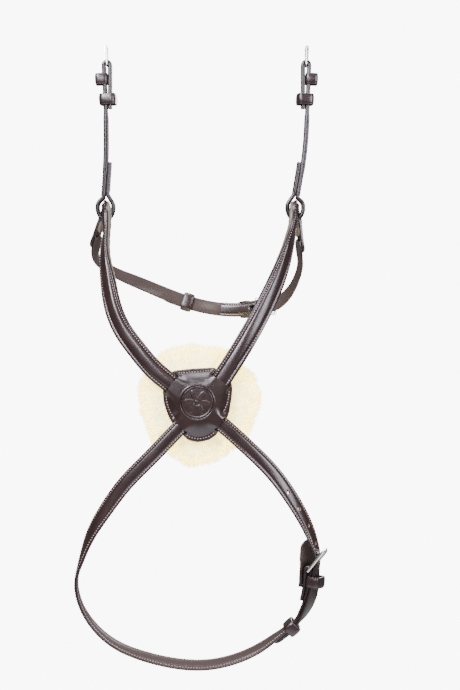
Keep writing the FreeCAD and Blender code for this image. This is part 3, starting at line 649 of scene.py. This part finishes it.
# -------- neck straps
NECK_ROUTES = {
    "left": [((-21, -0.2, 15), 0), ((-40, -0.4, 30), 0), ((-58.6, 0.8, 46), 5), ((-79.3, 4.5, 70), 13),
             ((-98.7, 12, 96), 22), ((-112.3, 20, 126), 32), ((-119.5, 30, 158), 42),
             ((-125.5, 42, 202), 64)],
    "right": [((18, -0.3, 13), 0), ((37, -0.6, 42), 0), ((54, 1.0, 68.5), 5), ((73.1, 7, 101), 16),
              ((91.8, 17, 136.5), 28), ((111, 30, 180), 46), ((123.5, 42, 221), 66)],
}
YOKE_CENTRES = {"left": Vector((-125.45, 71, 243.2)), "right": Vector((129.6, 71, 243.2))}
YOKE_ARC = [(0, 80, 0), (40, 82, 0), (90, 86, 0), (130, 91, 0.12), (155, 98, 0.5), (180, 105, 1)]
YOKE_RADIUS = 19.0
YOKE_LEAN = 2.6
YOKE_FLARES = {"left": 7.5, "right": 4.5}
TAB_ENDS = {"left": Vector((-143.5, 96, 207)), "right": Vector((139, 95, 201))}
TAB_TURNS = {"left": (112, 120), "right": (104, 109)}
NECK_WIDTH, YOKE_WIDTH, TAB_WIDTH, TAB_LENGTH = 26.0, 17.0, 22.0, 40.0
TAPER_START = 0.62          # share of the way up where the strap starts to narrow
TIP_ROUNDING = 9
NECK_FOOT = 0.62            # where the raised centre starts, as a share of the half width
FLANGE, RAISE, CROOK_RAISE = 3.4, 2.4, 3.1
LINING_DEPTH, LINING_SHARE = 4.8, 0.95      # the share is of the strap's width
CROOK_NARROWING, CROOK_THINNING = 0.14, 0.22        # of the lining, inside the ring
LINING_START, LINING_STOP = 40, 22
BACKING_FRONT = 2.0


def facing(side, turn):
    angle = math.radians(turn)
    return Vector((side * math.sin(angle), -math.cos(angle), 0))


def neck_stations(word):
    side = SIDES[word]
    route = [(point, facing(side, turn)) for point, turn in NECK_ROUTES[word]]
    for angle, face, share in YOKE_ARC:
        over = math.radians(angle)
        outward = side * (YOKE_FLARES[word] * share - YOKE_LEAN * max(0, math.cos(over)))
        lift = Vector((outward, -YOKE_RADIUS * math.cos(over), YOKE_RADIUS * math.sin(over)))
        route.append((YOKE_CENTRES[word] + lift, facing(side, face)))
    foot, end = route[-1][0], TAB_ENDS[word]
    for point, turn in zip((foot * 0.5 + end * 0.5, end), TAB_TURNS[word]):
        route.append((point, facing(side, turn)))
    return raised(evenly(route, 3.5), 0.15 - BACKING_FRONT)


def neck_width(run, total):
    crook_start = total - TAB_LENGTH - math.pi * YOKE_RADIUS
    if run < crook_start:
        share = max(0, (run / crook_start - TAPER_START) / (1 - TAPER_START))
        width = NECK_WIDTH + (YOKE_WIDTH - NECK_WIDTH) * share ** 1.4
    else:
        share = max(0, (run - total + TAB_LENGTH) / TAB_LENGTH)
        width = YOKE_WIDTH + (TAB_WIDTH - YOKE_WIDTH) * min(1, 1.6 * share)
    return width * rounded_end(total - run, TIP_ROUNDING)


def neck_raise(run, total):
    left = total - run
    crook = smooth(-left, -125, -95) * (1 - smooth(-left, -45, -30))
    return 0.3 + RAISE * max(0, min(1, (left - 130) / 60)) + CROOK_RAISE * crook


def build_neck(word):
    stations = neck_stations(word)
    total = lengths(stations)[-1]
    strap = sweep(f"neck_strap_{word}_face", with_round_end(stations, TIP_ROUNDING),
                  lambda run, whole: raised_section(neck_width(run, whole) / 2, FLANGE,
                                                    neck_raise(run, whole)))
    finish_piece(strap, f"neck_strap_{word}")
    lining = between(stations, LINING_START, total - LINING_STOP)

    def padding(run, whole):
        wide = LINING_SHARE * neck_width(run + LINING_START, total) / 2 * rounded_end(whole - run, 6)
        ripple = 0.25 * math.sin(run * 0.55) + 0.15 * math.sin(run * 0.23 + 1)
        crook = max(0, min(1, (run + LINING_START - total + 88) / 15))
        return cushion_section(wide * (1 - CROOK_NARROWING * crook),
                               LINING_DEPTH * (1 - CROOK_THINNING * crook) + ripple)

    pad = sweep(f"neck_lining_{word}_pad", lining, padding, LINING)
    finish_piece(pad, f"neck_lining_{word}")
    stitching = Stitching()
    stitching.rows(stations, lambda run: NECK_FOOT * neck_width(run, total) / 2 + 1.4, FLANGE + 0.1,
                   18, total - 14)
    stitching.piece(f"neck_stitching_{word}")


def tab_lead(word):
    """Where the wither strap lies flat on the inside of a tab."""
    stations = neck_stations(word)
    total = lengths(stations)[-1]
    found = [station_at(stations, total - distance) for distance in (19, 10, 1)]
    return [(point - normal * (WITHER_THICK / 2 + 0.5), normal) for point, normal in found]


# -------- saddle straps
DEE_WIDTH, DEE_THICK, DEE_BAR = 16.0, 5.0, 2.6
DEE_FULL, DEE_SINGLE_FULL = 0.5, 1.3        # extra softness of the plies, and of the single stretch
DEE_Y = 71
DEE_TAIL_HEIGHTS = (321, 314, 308, 302, 296, 290, 284, 277.5)
RING_CENTRES = {"left": (-124.9, 261.2), "right": (129.0, 261.2)}
RING_HALF = (10.6, 11.6, 16.2)       # half width, height above the centre, depth below it
DEE_MAIN = {
    "left": [(-127.8, 273.8), (-125.6, 305), (-124.2, 330), (-124.0, 355), (-124.5, 390), (-127.2, 451)],
    "right": [(131.7, 273.8), (137.2, 305), (140.8, 330), (143.2, 355), (144.9, 390), (147.6, 451)],
}


def dee_lower(word, main):
    """Lower tail and the ring round the yoke."""
    side = SIDES[word]
    pitch = DEE_THICK + PLY_GAP
    tail = []
    for height in DEE_TAIL_HEIGHTS:
        i = next(i for i, (point, _) in enumerate(main) if point.z > height)
        low, high = main[i - 1][0], main[i][0]
        beside = low.lerp(high, (height - low.z) / (high.z - low.z))
        tail.append((Vector((beside.x - side * pitch, DEE_Y, height)), Vector((-side, 0, 0))))
    cx, cz = RING_CENTRES[word]
    wide, above, below = RING_HALF
    ring = []
    for angle in range(50, 320, 10):
        x, z = -side * math.sin(math.radians(angle)), math.cos(math.radians(angle))
        tall = above if z > 0 else below
        ring.append((Vector((cx + x * wide, DEE_Y, cz + z * tall)),
                     Vector((x / wide, 0, z / tall)).normalized()))
    return tail + ring


def build_saddle_strap(word):
    side = SIDES[word]
    body = f"saddle_strap_{word}"
    main = evenly([((x, DEE_Y, z), (side, 0, 0)) for x, z in DEE_MAIN[word]], 5)
    end = BuckleEnd(main, DEE_THICK, DEE_BAR, 58)
    lower = dee_lower(word, main)
    stations = lower + end.stations()
    first = lengths(lower)[-1]
    whole = lengths(main)[-1]

    def fuller(run, _):
        single = smooth(run - first, 36, 46) * (1 - smooth(run - first, whole - 64, whole - 56))
        return flat_section(DEE_WIDTH / 2, DEE_THICK + DEE_FULL + DEE_SINGLE_FULL * single, crown=0.3)

    strap = sweep(f"dee_strap_{word}_leather", stations, fuller)
    cut_slot(strap, end)
    finish_piece(strap, f"dee_strap_{word}", body)
    fixed_keeper(f"dee_keeper_fixed_{word}", body, end, DEE_WIDTH, 18.5, 13.6)
    sliding_keeper(f"dee_keeper_sliding_{word}", f"saddle_keeper_{word}", end, DEE_WIDTH, 46, 17.5, -3.6,
                   turn=side * 7, extra=2.4)
    stitching = Stitching()
    for start, stop in ((2, 42), (whole - 34, whole - 9)):
        stitching.rows(main, DEE_WIDTH / 2 - STITCH_INSET, DEE_THICK / 2 + 0.1, start, stop)
    stitching.piece(f"dee_stitching_{word}", body)


# -------- wither strap
WITHER_WIDTH, WITHER_THICK, WITHER_BAR = 18.5, 3.4, 3.0
WITHER_LEFT = [
    ((-139.6, 98.5, 195), (-0.78, 0.53, -0.33)), ((-131.5, 108, 186), (-0.55, 0.66, -0.5)),
    ((-116, 122, 176), (-0.35, 0.75, -0.55)), ((-88, 136, 164), (-0.2, 0.9, -0.4)),
    ((-58.8, 146, 152), (-0.1, 0.95, -0.3)), ((-16.5, 152, 136), (0, 1, -0.15)),
    ((22.9, 150, 127), (0.1, 0.98, -0.1)), ((59.5, 141, 125.5), (0.28, 0.95, -0.05)),
    ((80, 134, 128.5), (0.33, 0.94, -0.1)),
]
WITHER_RIGHT = [
    ((136.6, 99, 187), (0.94, 0.32, -0.05)), ((133.8, 105.5, 172), (0.92, 0.34, -0.15)),
    ((127, 113.5, 156), (0.8, 0.5, -0.3)), ((116, 122.5, 141.5), (0.6, 0.72, -0.3)),
    ((101, 131.5, 132), (0.42, 0.9, -0.1)),
]
WITHER_OVERLAP = 140


def buckled_billet(lead_in, end, overlap, tip):
    """Lead-in, then flat along the outside of the buckled strap to a rounded tip."""
    lying = raised(list(reversed(between(end.main, end.total - overlap, end.total))), end.thickness + PLY_GAP)
    route = evenly(lead_in + [lying[0], lying[2]], 4)
    join = lengths(route)[-1] - (lying[2][0] - lying[0][0]).length
    return with_round_end(between(route, 0, join) + lying[1:], tip)


def build_wither():
    end = BuckleEnd(evenly(tab_lead("left") + WITHER_LEFT), WITHER_THICK, WITHER_BAR, 52)
    strap = sweep("wither_strap_leather", end.stations(), flat_strap(WITHER_WIDTH, WITHER_THICK, first=6))
    cut_slot(strap, end)
    finish_piece(strap, "wither_strap")
    stations = buckled_billet(tab_lead("right") + WITHER_RIGHT, end, WITHER_OVERLAP, 14)
    billet = sweep("wither_billet_leather", stations,
                   flat_strap(WITHER_WIDTH, WITHER_THICK, first=6, last=14))
    buckle_hole = lengths(stations)[-1] - WITHER_OVERLAP - 12
    punch(billet, stations, buckle_hole, HOLE_PITCH)
    finish_piece(billet, "wither_billet")
    fixed_keeper("wither_keeper_fixed", "harness", end, WITHER_WIDTH, 19, 9.0)
    sliding_keeper("wither_keeper_sliding", "wither_keeper", end, WITHER_WIDTH, 101, 10.0,
                   (WITHER_THICK + PLY_GAP) / 2)
    stitching = Stitching()
    tail = end.tail()
    whole = lengths(tail)[-1]
    for line, start, stop in ((end.main, 2, 26), (stations, 2, 26), (tail, whole - 30, whole - 2)):
        stitching.rows(line, WITHER_WIDTH / 2 - STITCH_INSET, WITHER_THICK / 2 + 0.1, start, stop)
    stitching.piece("wither_stitching")


# -------- girth loop
GIRTH_WIDTH, GIRTH_THICK, GIRTH_BAR = 21.0, 4.0, 3.6
GIRTH_STRAP = [
    ((-16, -0.2, -22), (0, -1, 0)), ((-38, -0.4, -45), (0, -1, 0)),
    ((-62, -0.2, -70), (-0.1, -0.99, 0)), ((-95, 2, -104), (-0.3, -0.95, -0.1)),
    ((-120.5, 6, -138.5), (-0.6, -0.8, -0.1)), ((-141, 10, -173), (-0.85, -0.5, -0.1)),
    ((-153, 14, -205), (-0.97, -0.2, -0.1)), ((-159.5, 17, -231), (-1, 0, -0.05)),
    ((-152.5, 20, -267), (-0.9, 0.1, -0.35)), ((-134.5, 22, -294.5), (-0.7, 0.25, -0.65)),
    ((-110.5, 23, -315), (-0.45, 0.35, -0.8)), ((-71, 24, -332), (-0.25, 0.45, -0.85)),
    ((-25.5, 24, -342), (-0.08, 0.5, -0.86)), ((13, 24, -343), (0.05, 0.5, -0.86)),
    ((52, 23, -334), (0.2, 0.48, -0.85)), ((81.5, 22, -320), (0.35, 0.42, -0.82)),
    ((105.5, 20, -303), (0.5, 0.25, -0.78)), ((122, 18, -290), (0.68, 0.08, -0.68)),
    ((136, 16.5, -272), (0.75, -0.38, -0.5)), ((146, 15, -249), (0.80, -0.56, -0.2)),
    ((150, 13, -217), (0.92, -0.36, -0.12)),
]
GIRTH_BILLET = [
    ((15, -0.2, -13), (0, -1, 0)), ((40, -0.4, -34), (0, -1, 0)),
    ((63, -0.2, -55), (0.1, -0.99, 0.05)), ((96, 3, -88), (0.25, -0.95, 0.1)),
    ((124, 7, -126.5), (0.5, -0.85, 0.1)), ((145.2, 11.2, -166), (0.74, -0.66, 0.1)),
    ((153.2, 11.3, -188), (0.9, -0.43, 0.05)), ((156.2, 11.2, -203), (0.95, -0.3, -0.02)),
]
GIRTH_OVERLAP = 112
SAFE_WIDTH, SAFE_THICK = 27.0, 2.6


def build_girth():
    end = BuckleEnd(evenly(GIRTH_STRAP), GIRTH_THICK, GIRTH_BAR, 44)
    strap = sweep("girth_strap_leather", end.stations(),
                  lambda run, whole: ridged_section(GIRTH_WIDTH / 2, GIRTH_THICK))
    cut_slot(strap, end)
    finish_piece(strap, "girth_strap")
    stations = buckled_billet(GIRTH_BILLET, end, GIRTH_OVERLAP, 12)
    plain = lengths(stations)[-1] - GIRTH_OVERLAP - 30
    billet = sweep("girth_billet_leather", stations,
                   lambda run, whole: ridged_section(GIRTH_WIDTH / 2 * rounded_end(whole - run, 12),
                                                     GIRTH_THICK, 0.9 * (1 - smooth(run, plain - 20, plain))))
    buckle_hole = lengths(stations)[-1] - GIRTH_OVERLAP - 15.3
    punch(billet, stations, buckle_hole, -HOLE_PITCH)
    finish_piece(billet, "girth_billet")
    fixed_keeper("girth_keeper_fixed", "harness", end, GIRTH_WIDTH, 15, 15.0)
    sliding_keeper("girth_keeper_sliding", "girth_keeper", end, GIRTH_WIDTH, 82, 14.2,
                   (GIRTH_THICK + PLY_GAP) / 2, extra=1.6)
    build_safe(end)
    stitching = Stitching()
    flange = GIRTH_WIDTH / 2 - 2.8
    stitching.rows(end.main, flange, GIRTH_THICK / 2 - 0.1, 11, end.total - 60)
    stitching.rows(end.main, flange, 0.1 - GIRTH_THICK / 2, 26, end.total - 90)
    stitching.rows(stations, flange, GIRTH_THICK / 2 - 0.1, 20, plain)
    tail = end.tail()
    whole = lengths(tail)[-1]
    stitching.rows(tail, GIRTH_WIDTH / 2 - STITCH_INSET, GIRTH_THICK / 2 + 0.1, whole - 24, whole - 2)
    stitching.piece("girth_stitching")


def build_safe(end):
    """Thin leaf bowed behind the buckle."""
    inner = end.thickness / 2 + 3 * PLY_GAP + SAFE_THICK / 2
    route = []
    for distance in (26, 14, 0):
        point, normal = station_at(end.main, end.total - distance)
        route.append((point - normal * (end.spread(distance) + inner), -normal))
    route += [((143.0, 18.5, -205), (-0.55, 0.83, 0)), ((144.8, 19.0, -192), (-0.52, 0.84, 0.1)),
              ((147.0, 17.0, -177), (-0.52, 0.78, 0.35))]
    stations = with_round_end(evenly(route, 3), 12)
    safe = sweep("girth_buckle_safe_leaf", stations,
                 flat_strap(SAFE_WIDTH, SAFE_THICK, last=12, first=3, crown=0.1))
    finish_piece(safe, "girth_buckle_safe")


# -------- chest disc
STRAP_EXITS = (
    # direction of each strap from the disc, its start, half width, cover height over it, cover's reach
    (Vector((-0.775, 0.632)), Vector((-21, 15)), 13.6, 7.0, 15.6),
    (Vector((0.56, 0.828)), Vector((18, 13)), 13.6, 7.0, 19.8),
    (Vector((-0.69, -0.724)), Vector((-16, -22)), 11.0, 5.6, 8.8),
    (Vector((0.766, -0.643)), Vector((15, -13)), 11.0, 5.6, 17.4),
)
COVER_RIM = 1.0             # how far the cover's sewn rim stands in front of the leather's zero plane
COVER_TOP, COVER_THICK = 10.2, 2.3
COVER_STITCH_INSET = 4.2
COVER_SHARP = 55            # angle in degrees above which its edges are sharp
DISC_HALF = (46.0, 50.0)
DISC_CORNERS = (            # as shares of the disc's half width and half height
    (-1, 0.38), (-0.74, 0.86), (-0.16, 0.92), (0.47, 0.95), (0.96, 0.56), (0.97, 0.3), (0.93, 0.03),
    (0.8, -0.27), (0.53, -0.8), (0.31, -0.94), (0, -1), (-0.29, -0.94), (-0.44, -0.8), (-0.69, -0.47),
    (-0.86, -0.27), (-0.97, 0.03),
)
EMBLEM_RADIUS = 21.0
EMBLEM_CENTRE = Vector((-1, 2.6))


def heading(turn):
    return Vector((math.cos(turn), math.sin(turn)))


def smooth(value, low, high):
    t = max(0.0, min(1.0, (value - low) / (high - low)))
    return t * t * (3 - 2 * t)


def rim_radius(turn):
    """Distance from the emblem's centre to the disc's outline in one direction."""
    wide, tall = DISC_HALF
    outline = [(x * wide - EMBLEM_CENTRE.x, z * tall - EMBLEM_CENTRE.y) for x, z in DISC_CORNERS]
    ray = heading(turn)
    reach = 0
    for (ax, az), (bx, bz) in zip(outline, outline[1:] + outline[:1]):
        ex, ez = bx - ax, bz - az
        det = ex * ray.y - ez * ray.x
        if abs(det) < 1e-9:
            continue
        along_ray = (ex * az - ez * ax) / det
        along_edge = (ray.x * az - ray.y * ax) / det
        if -1e-6 <= along_edge <= 1 + 1e-6 and along_ray > 0:
            reach = max(reach, along_ray)
    return reach


def soft_rim(steps):
    """The outline's radii with its corners rounded off."""
    sharp = [rim_radius(2 * math.pi * i / steps) for i in range(steps)]
    window = steps // 60
    return [sum(sharp[(i + k) % steps] for k in range(-window, window + 1)) / (2 * window + 1)
            for i in range(steps)]


def over_straps(place):
    """(share, height) of the cover's lift over each strap here."""
    found = []
    for direction, start, half, height, _ in STRAP_EXITS:
        rel = place - start
        along = rel.dot(direction)
        lateral = abs(rel.x * direction.y - rel.y * direction.x)
        found.append(((1 - smooth(lateral, half - 5.5, half + 5)) * smooth(along, -26, 4), height))
    return found


def emblem(rho, turn):
    """Generic embossing: a ring round a six-petalled rosette."""
    sunk = 0.9 * math.exp(-((rho - EMBLEM_RADIUS) / 0.55) ** 2)
    sunk -= 0.35 * math.exp(-((rho - EMBLEM_RADIUS - 1.5) / 0.7) ** 2)
    petal = 11.5 + 5.0 * math.cos(6 * turn + 0.5)
    field = 1 - smooth(rho, EMBLEM_RADIUS - 3, EMBLEM_RADIUS - 1)
    flower = smooth(petal - rho, -0.5, 1.0) * smooth(rho, 3.6, 4.6)
    heart = 1 - smooth(rho, 1.8, 2.8)
    return sunk + 0.5 * field - 1.1 * max(flower, heart)


def cover_front(rho, turn, rim):
    """How far the cover's face stands forward, `rho` from the emblem's centre towards the rim."""
    share = rho / rim
    dome = COVER_RIM + (COVER_TOP - COVER_RIM) * (1 - min(1, share / 0.87) ** 4.2)
    place = EMBLEM_CENTRE + heading(turn) * rho
    rise = 0.0
    for lift, height in over_straps(place):
        bulge = height + (COVER_TOP - height) * (1 - min(1, share) ** 2.4)
        rise = max(rise, lift * (bulge - dome))
    return dome + rise - emblem(rho, turn)


COVER_STEPS = 320
COVER_INNER, COVER_INNER_RINGS, COVER_OUTER_RINGS = 24.0, 64, 40


def build_cover():
    steps = COVER_STEPS
    rings = COVER_INNER_RINGS + COVER_OUTER_RINGS
    radii = soft_rim(steps)
    front, back = [], []
    for j in range(rings + 1):
        outer = max(0, j - COVER_INNER_RINGS) / COVER_OUTER_RINGS
        inner = COVER_INNER * min(1, j / COVER_INNER_RINGS)
        for i in range(steps):
            turn = 2 * math.pi * i / steps
            rho = inner + (radii[i] - COVER_INNER) * outer
            place = EMBLEM_CENTRE + heading(turn) * rho
            y = -cover_front(rho, turn, radii[i])
            front.append((place.x, y + 0.8 * smooth(rho / radii[i], 0.965, 1.0), place.y))
            back.append((place.x * 0.995, y + COVER_THICK, place.y * 0.995))
    vertices = front + back
    count = len(front)
    faces = []
    for j in range(rings):
        for i in range(steps):
            k = (i + 1) % steps
            a, b, c, d = j * steps + i, j * steps + k, (j + 1) * steps + k, (j + 1) * steps + i
            faces.append((a, d, c, b))
            faces.append((count + a, count + b, count + c, count + d))
    rim = rings * steps
    for i in range(steps):
        k = (i + 1) % steps
        faces.append((rim + i, count + rim + i, count + rim + k, rim + k))
    cover = new_mesh("chest_cover_leather", vertices, faces, DARK, COVER_SHARP)
    fix_normals(cover, weld=True)
    cover.data.set_sharp_from_angle(angle=math.radians(COVER_SHARP))
    for direction, start, half, _, reach in STRAP_EXITS:
        cut_exit(cover, start + direction * reach, direction, half + 0.4)
    plain = [0.0] * len(cover.data.vertices)
    paint(cover, plain, plain)
    finish_piece(cover, "chest_cover")
    stitching = Stitching()
    walked, previous = 0.0, None
    for i in range(steps * 4):
        turn = 2 * math.pi * i / (steps * 4)
        rim = radii[(i // 4) % steps]
        rho = rim - COVER_STITCH_INSET
        place = EMBLEM_CENTRE + heading(turn) * rho
        if previous is not None:
            walked += (place - previous).length
        if walked > STITCH_PITCH:
            walked = 0.0
            if max(lift for lift, _ in over_straps(place)) < 0.12:
                along = Vector((place.x - previous.x, 0, place.y - previous.y)).normalized()
                y = -cover_front(rho, turn, rim) - 0.05
                stitching.add(Vector((place.x, y, place.y)), along, Vector((0, -1, 0)))
        previous = place
    stitching.piece("chest_stitching")


def cut_exit(cover, place, direction, half):
    """Cuts the cover back to a bowed edge where a strap comes out."""
    side = Vector((-direction.y, direction.x))
    outline = []
    for step in range(-6, 7):
        across = half * step / 6
        outline.append(place + side * across + direction * (1.6 * (1 - (step / 6) ** 2)))
    outline += [place + side * half + direction * 60, place - side * half + direction * 60]
    count = len(outline)
    vertices = [(p.x, y, p.y) for y in (-20, 4) for p in outline]
    faces = [(i, (i + 1) % count, count + (i + 1) % count, count + i) for i in range(count)]
    faces += [tuple(range(count)), tuple(reversed(range(count, 2 * count)))]
    apply_cut(cover, new_mesh("exit_tool", vertices, faces, DARK))


# -------- sheepskin
TUFTS = 5200
PUFF = 0.55                 # roundness of the cushion's rim: smaller is fuller
BARE_RADIUS = 41            # no tufts grow in front of this, under the chest disc


def build_fleece():
    """Lumpy woollen cushion with curled tufts all over it."""
    low, high = (Vector(c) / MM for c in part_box("sheepskin_fleece"))
    middle = (low + high) / 2
    half = (high - low) / 2
    steps, rings = 120, 48

    def skin(turn, lift):
        lobes = (1 + 0.030 * math.sin(3 * turn + 0.7) + 0.022 * math.sin(7 * turn)
                 + 0.015 * math.sin(11 * turn + 2))
        ring = math.sin(lift) ** PUFF if math.sin(lift) > 0 else 0.0
        depth = power(math.cos(lift), 0.8)
        place = Vector((math.cos(turn) * ring * half.x * lobes * 0.97, -depth * half.y * 0.92,
                        math.sin(turn) * ring * half.z * lobes * 0.97))
        lump = noise.noise(place * 0.07) * 2.2 + noise.noise(place * 0.2) * 1.2
        outward = Vector((place.x / half.x, place.y / half.y * 0.9, place.z / half.z)).normalized()
        return middle + place + outward * lump, outward

    vertices = [skin(2 * math.pi * i / steps, math.pi * (j + 0.001) / rings)[0]
                for j in range(rings + 1) for i in range(steps)]
    faces = tube_faces(rings + 1, steps)[:-2]
    for _ in range(TUFTS):
        turn = rng.uniform(0, 2 * math.pi)
        choice = rng.random()
        if choice < 0.45:
            lift = math.acos(rng.uniform(-0.95, 1.0))
        elif choice < 0.65:
            lift = math.pi - math.asin((0.56 * math.sqrt(rng.random())) ** (1 / PUFF))
        else:
            lift = rng.uniform(1.0, 2.1)
        root, outward = skin(turn, lift)
        hidden = math.hypot(root.x - middle.x, root.z - middle.z) < BARE_RADIUS
        if root.y >= middle.y or not hidden:
            add_tuft(vertices, faces, root, outward)
    fleece = new_mesh("sheepskin_fleece_wool", vertices, faces, GLOWING_WOOL, 70)
    fix_normals(fleece)
    finish_piece(fleece, "sheepskin_fleece")


def add_tuft(vertices, faces, root, outward):
    """One curled lock of wool, tapering to its tip."""
    radial = Vector((root.x, 0, root.z)).normalized()
    lean = Vector((rng.uniform(-1, 1), rng.uniform(-0.6, 0.6), rng.uniform(-1, 1)))
    direction = (outward + radial * 0.5 + lean * 0.55).normalized()
    curl = direction.cross(Vector((rng.uniform(-1, 1), rng.uniform(-1, 1), rng.uniform(-1, 1)))).normalized()
    reach = rng.uniform(4.0, 8.5)
    girth = rng.uniform(0.7, 1.25)
    first = len(vertices)
    rings = 5
    for j in range(rings):
        share = j / (rings - 1)
        centre = root + direction * (reach * share) + curl * (1.8 * math.sin(share * 4.2))
        radius = girth * (1 - 0.8 * share)
        other = direction.cross(curl)
        vertices += circle(centre, curl, other, radius, 4)
    faces += [tuple(first + v for v in face) for face in tube_faces(rings, 4)]


# -------- carried-over nodes
def dress_cad_nodes():
    finishes = {"chest_core": FELT, "chest_backing": BACKING, "pad_tape": TAPE, "sheepskin_base": BACKING}
    for name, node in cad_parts.items():
        metal_part = "buckle_frame" in name or "tongue" in name
        material = METAL if metal_part else finishes.get(name)
        if material:
            node.data.materials.clear()
            node.data.materials.append(material)


# -------- studio
FLOOR_DROP = 0.62           # how far the floor lies below the hanging object
FLOOR_RADIUS, FLOOR_SIDES = 3.0, 64
AMBIENT_STRENGTH, SURROUND_STRENGTH = 0.2, 9.0
SOFTBOXES = (               # name, place, target height, side, watts
    ("key", (-1.0, -1.6, 1.3), 0.05, 0.7, 110),
    ("fill", (1.5, -1.4, 0.6), 0.0, 0.9, 50),
    ("top", (0.2, -0.5, 1.9), 0.0, 0.9, 45),
    ("front", (-0.35, -2.3, 0.85), -0.05, 0.5, 24),
    ("back", (0.7, 2.0, 0.9), 0.0, 1.1, 45),
)


def build_floor(height):
    """Pale round floor that thins out into the white surround."""
    mesh = bpy.data.meshes.new("pale_floor")
    ring = [(*(heading(2 * math.pi * i / FLOOR_SIDES) * FLOOR_RADIUS), height) for i in range(FLOOR_SIDES)]
    mesh.from_pydata(ring, [], [list(range(FLOOR_SIDES))])
    n = Nodes("pale_floor_matt")
    tone = n.ramp(n.noise(3, 2), [(0.3, (0.92, 0.92, 0.92)), (0.7, (0.95, 0.95, 0.95))])
    flat = n.node("ShaderNodeVectorMath", {0: n.place, 1: (1 / FLOOR_RADIUS, 1 / FLOOR_RADIUS, 0)},
                  operation="MULTIPLY")
    away = n.node("ShaderNodeVectorMath", {0: flat.outputs[0]}, operation="LENGTH").outputs["Value"]
    mesh.materials.append(n.surface(Base_Color=tone, Roughness=0.9, Alpha=n.level(away, 1.0, 0.0)))
    placed("pale_floor", mesh)


def build_studio():
    """Pale floor, softboxes, and a white surround that only the camera sees."""
    build_floor(cad_box[0][2] - FLOOR_DROP)
    world = bpy.context.scene.world or bpy.data.worlds.new("studio")
    bpy.context.scene.world = world
    world.use_nodes = True
    tree = world.node_tree
    choice = tree.nodes.new("ShaderNodeMixShader")
    seen = tree.nodes.new("ShaderNodeLightPath")
    tree.links.new(seen.outputs["Is Camera Ray"], choice.inputs[0])
    shades = (tree.nodes["Background"], tree.nodes.new("ShaderNodeBackground"))
    for i, (shade, strength) in enumerate(zip(shades, (AMBIENT_STRENGTH, SURROUND_STRENGTH))):
        shade.inputs["Color"].default_value = (1, 1, 1, 1)
        shade.inputs["Strength"].default_value = strength
        tree.links.new(shade.outputs[0], choice.inputs[i + 1])
    tree.links.new(choice.outputs[0], tree.nodes["World Output"].inputs["Surface"])
    for name, place, target_height, side, watts in SOFTBOXES:
        light = bpy.data.lights.new(name, "AREA")
        light.shape, light.size, light.energy = "SQUARE", side, watts
        lamp = placed(name, light)
        lamp.location = place
        towards = Vector((0, 0, target_height)) - Vector(place)
        lamp.rotation_euler = towards.to_track_quat("-Z", "Y").to_euler()


CAMERA_DISTANCE = 2.4
VIEW_CENTRE = (0.0416, 0.0767)
VIEW_HEIGHT = 0.897         # height that the picture covers at the chest disc


def build_camera():
    data = bpy.data.cameras.new("camera")
    data.sensor_fit = "VERTICAL"
    data.sensor_height = 36.0
    data.lens = data.sensor_height * CAMERA_DISTANCE / VIEW_HEIGHT
    data.clip_end = 30
    camera = placed("camera", data)
    camera.location = (VIEW_CENTRE[0], -CAMERA_DISTANCE, VIEW_CENTRE[1])
    camera.rotation_euler = (math.radians(90), 0, 0)
    bpy.context.scene.camera = camera


build_camera()
for word in SIDES:
    build_neck(word)
    build_saddle_strap(word)
build_wither()
build_girth()
build_cover()
build_fleece()
dress_cad_nodes()
build_studio()
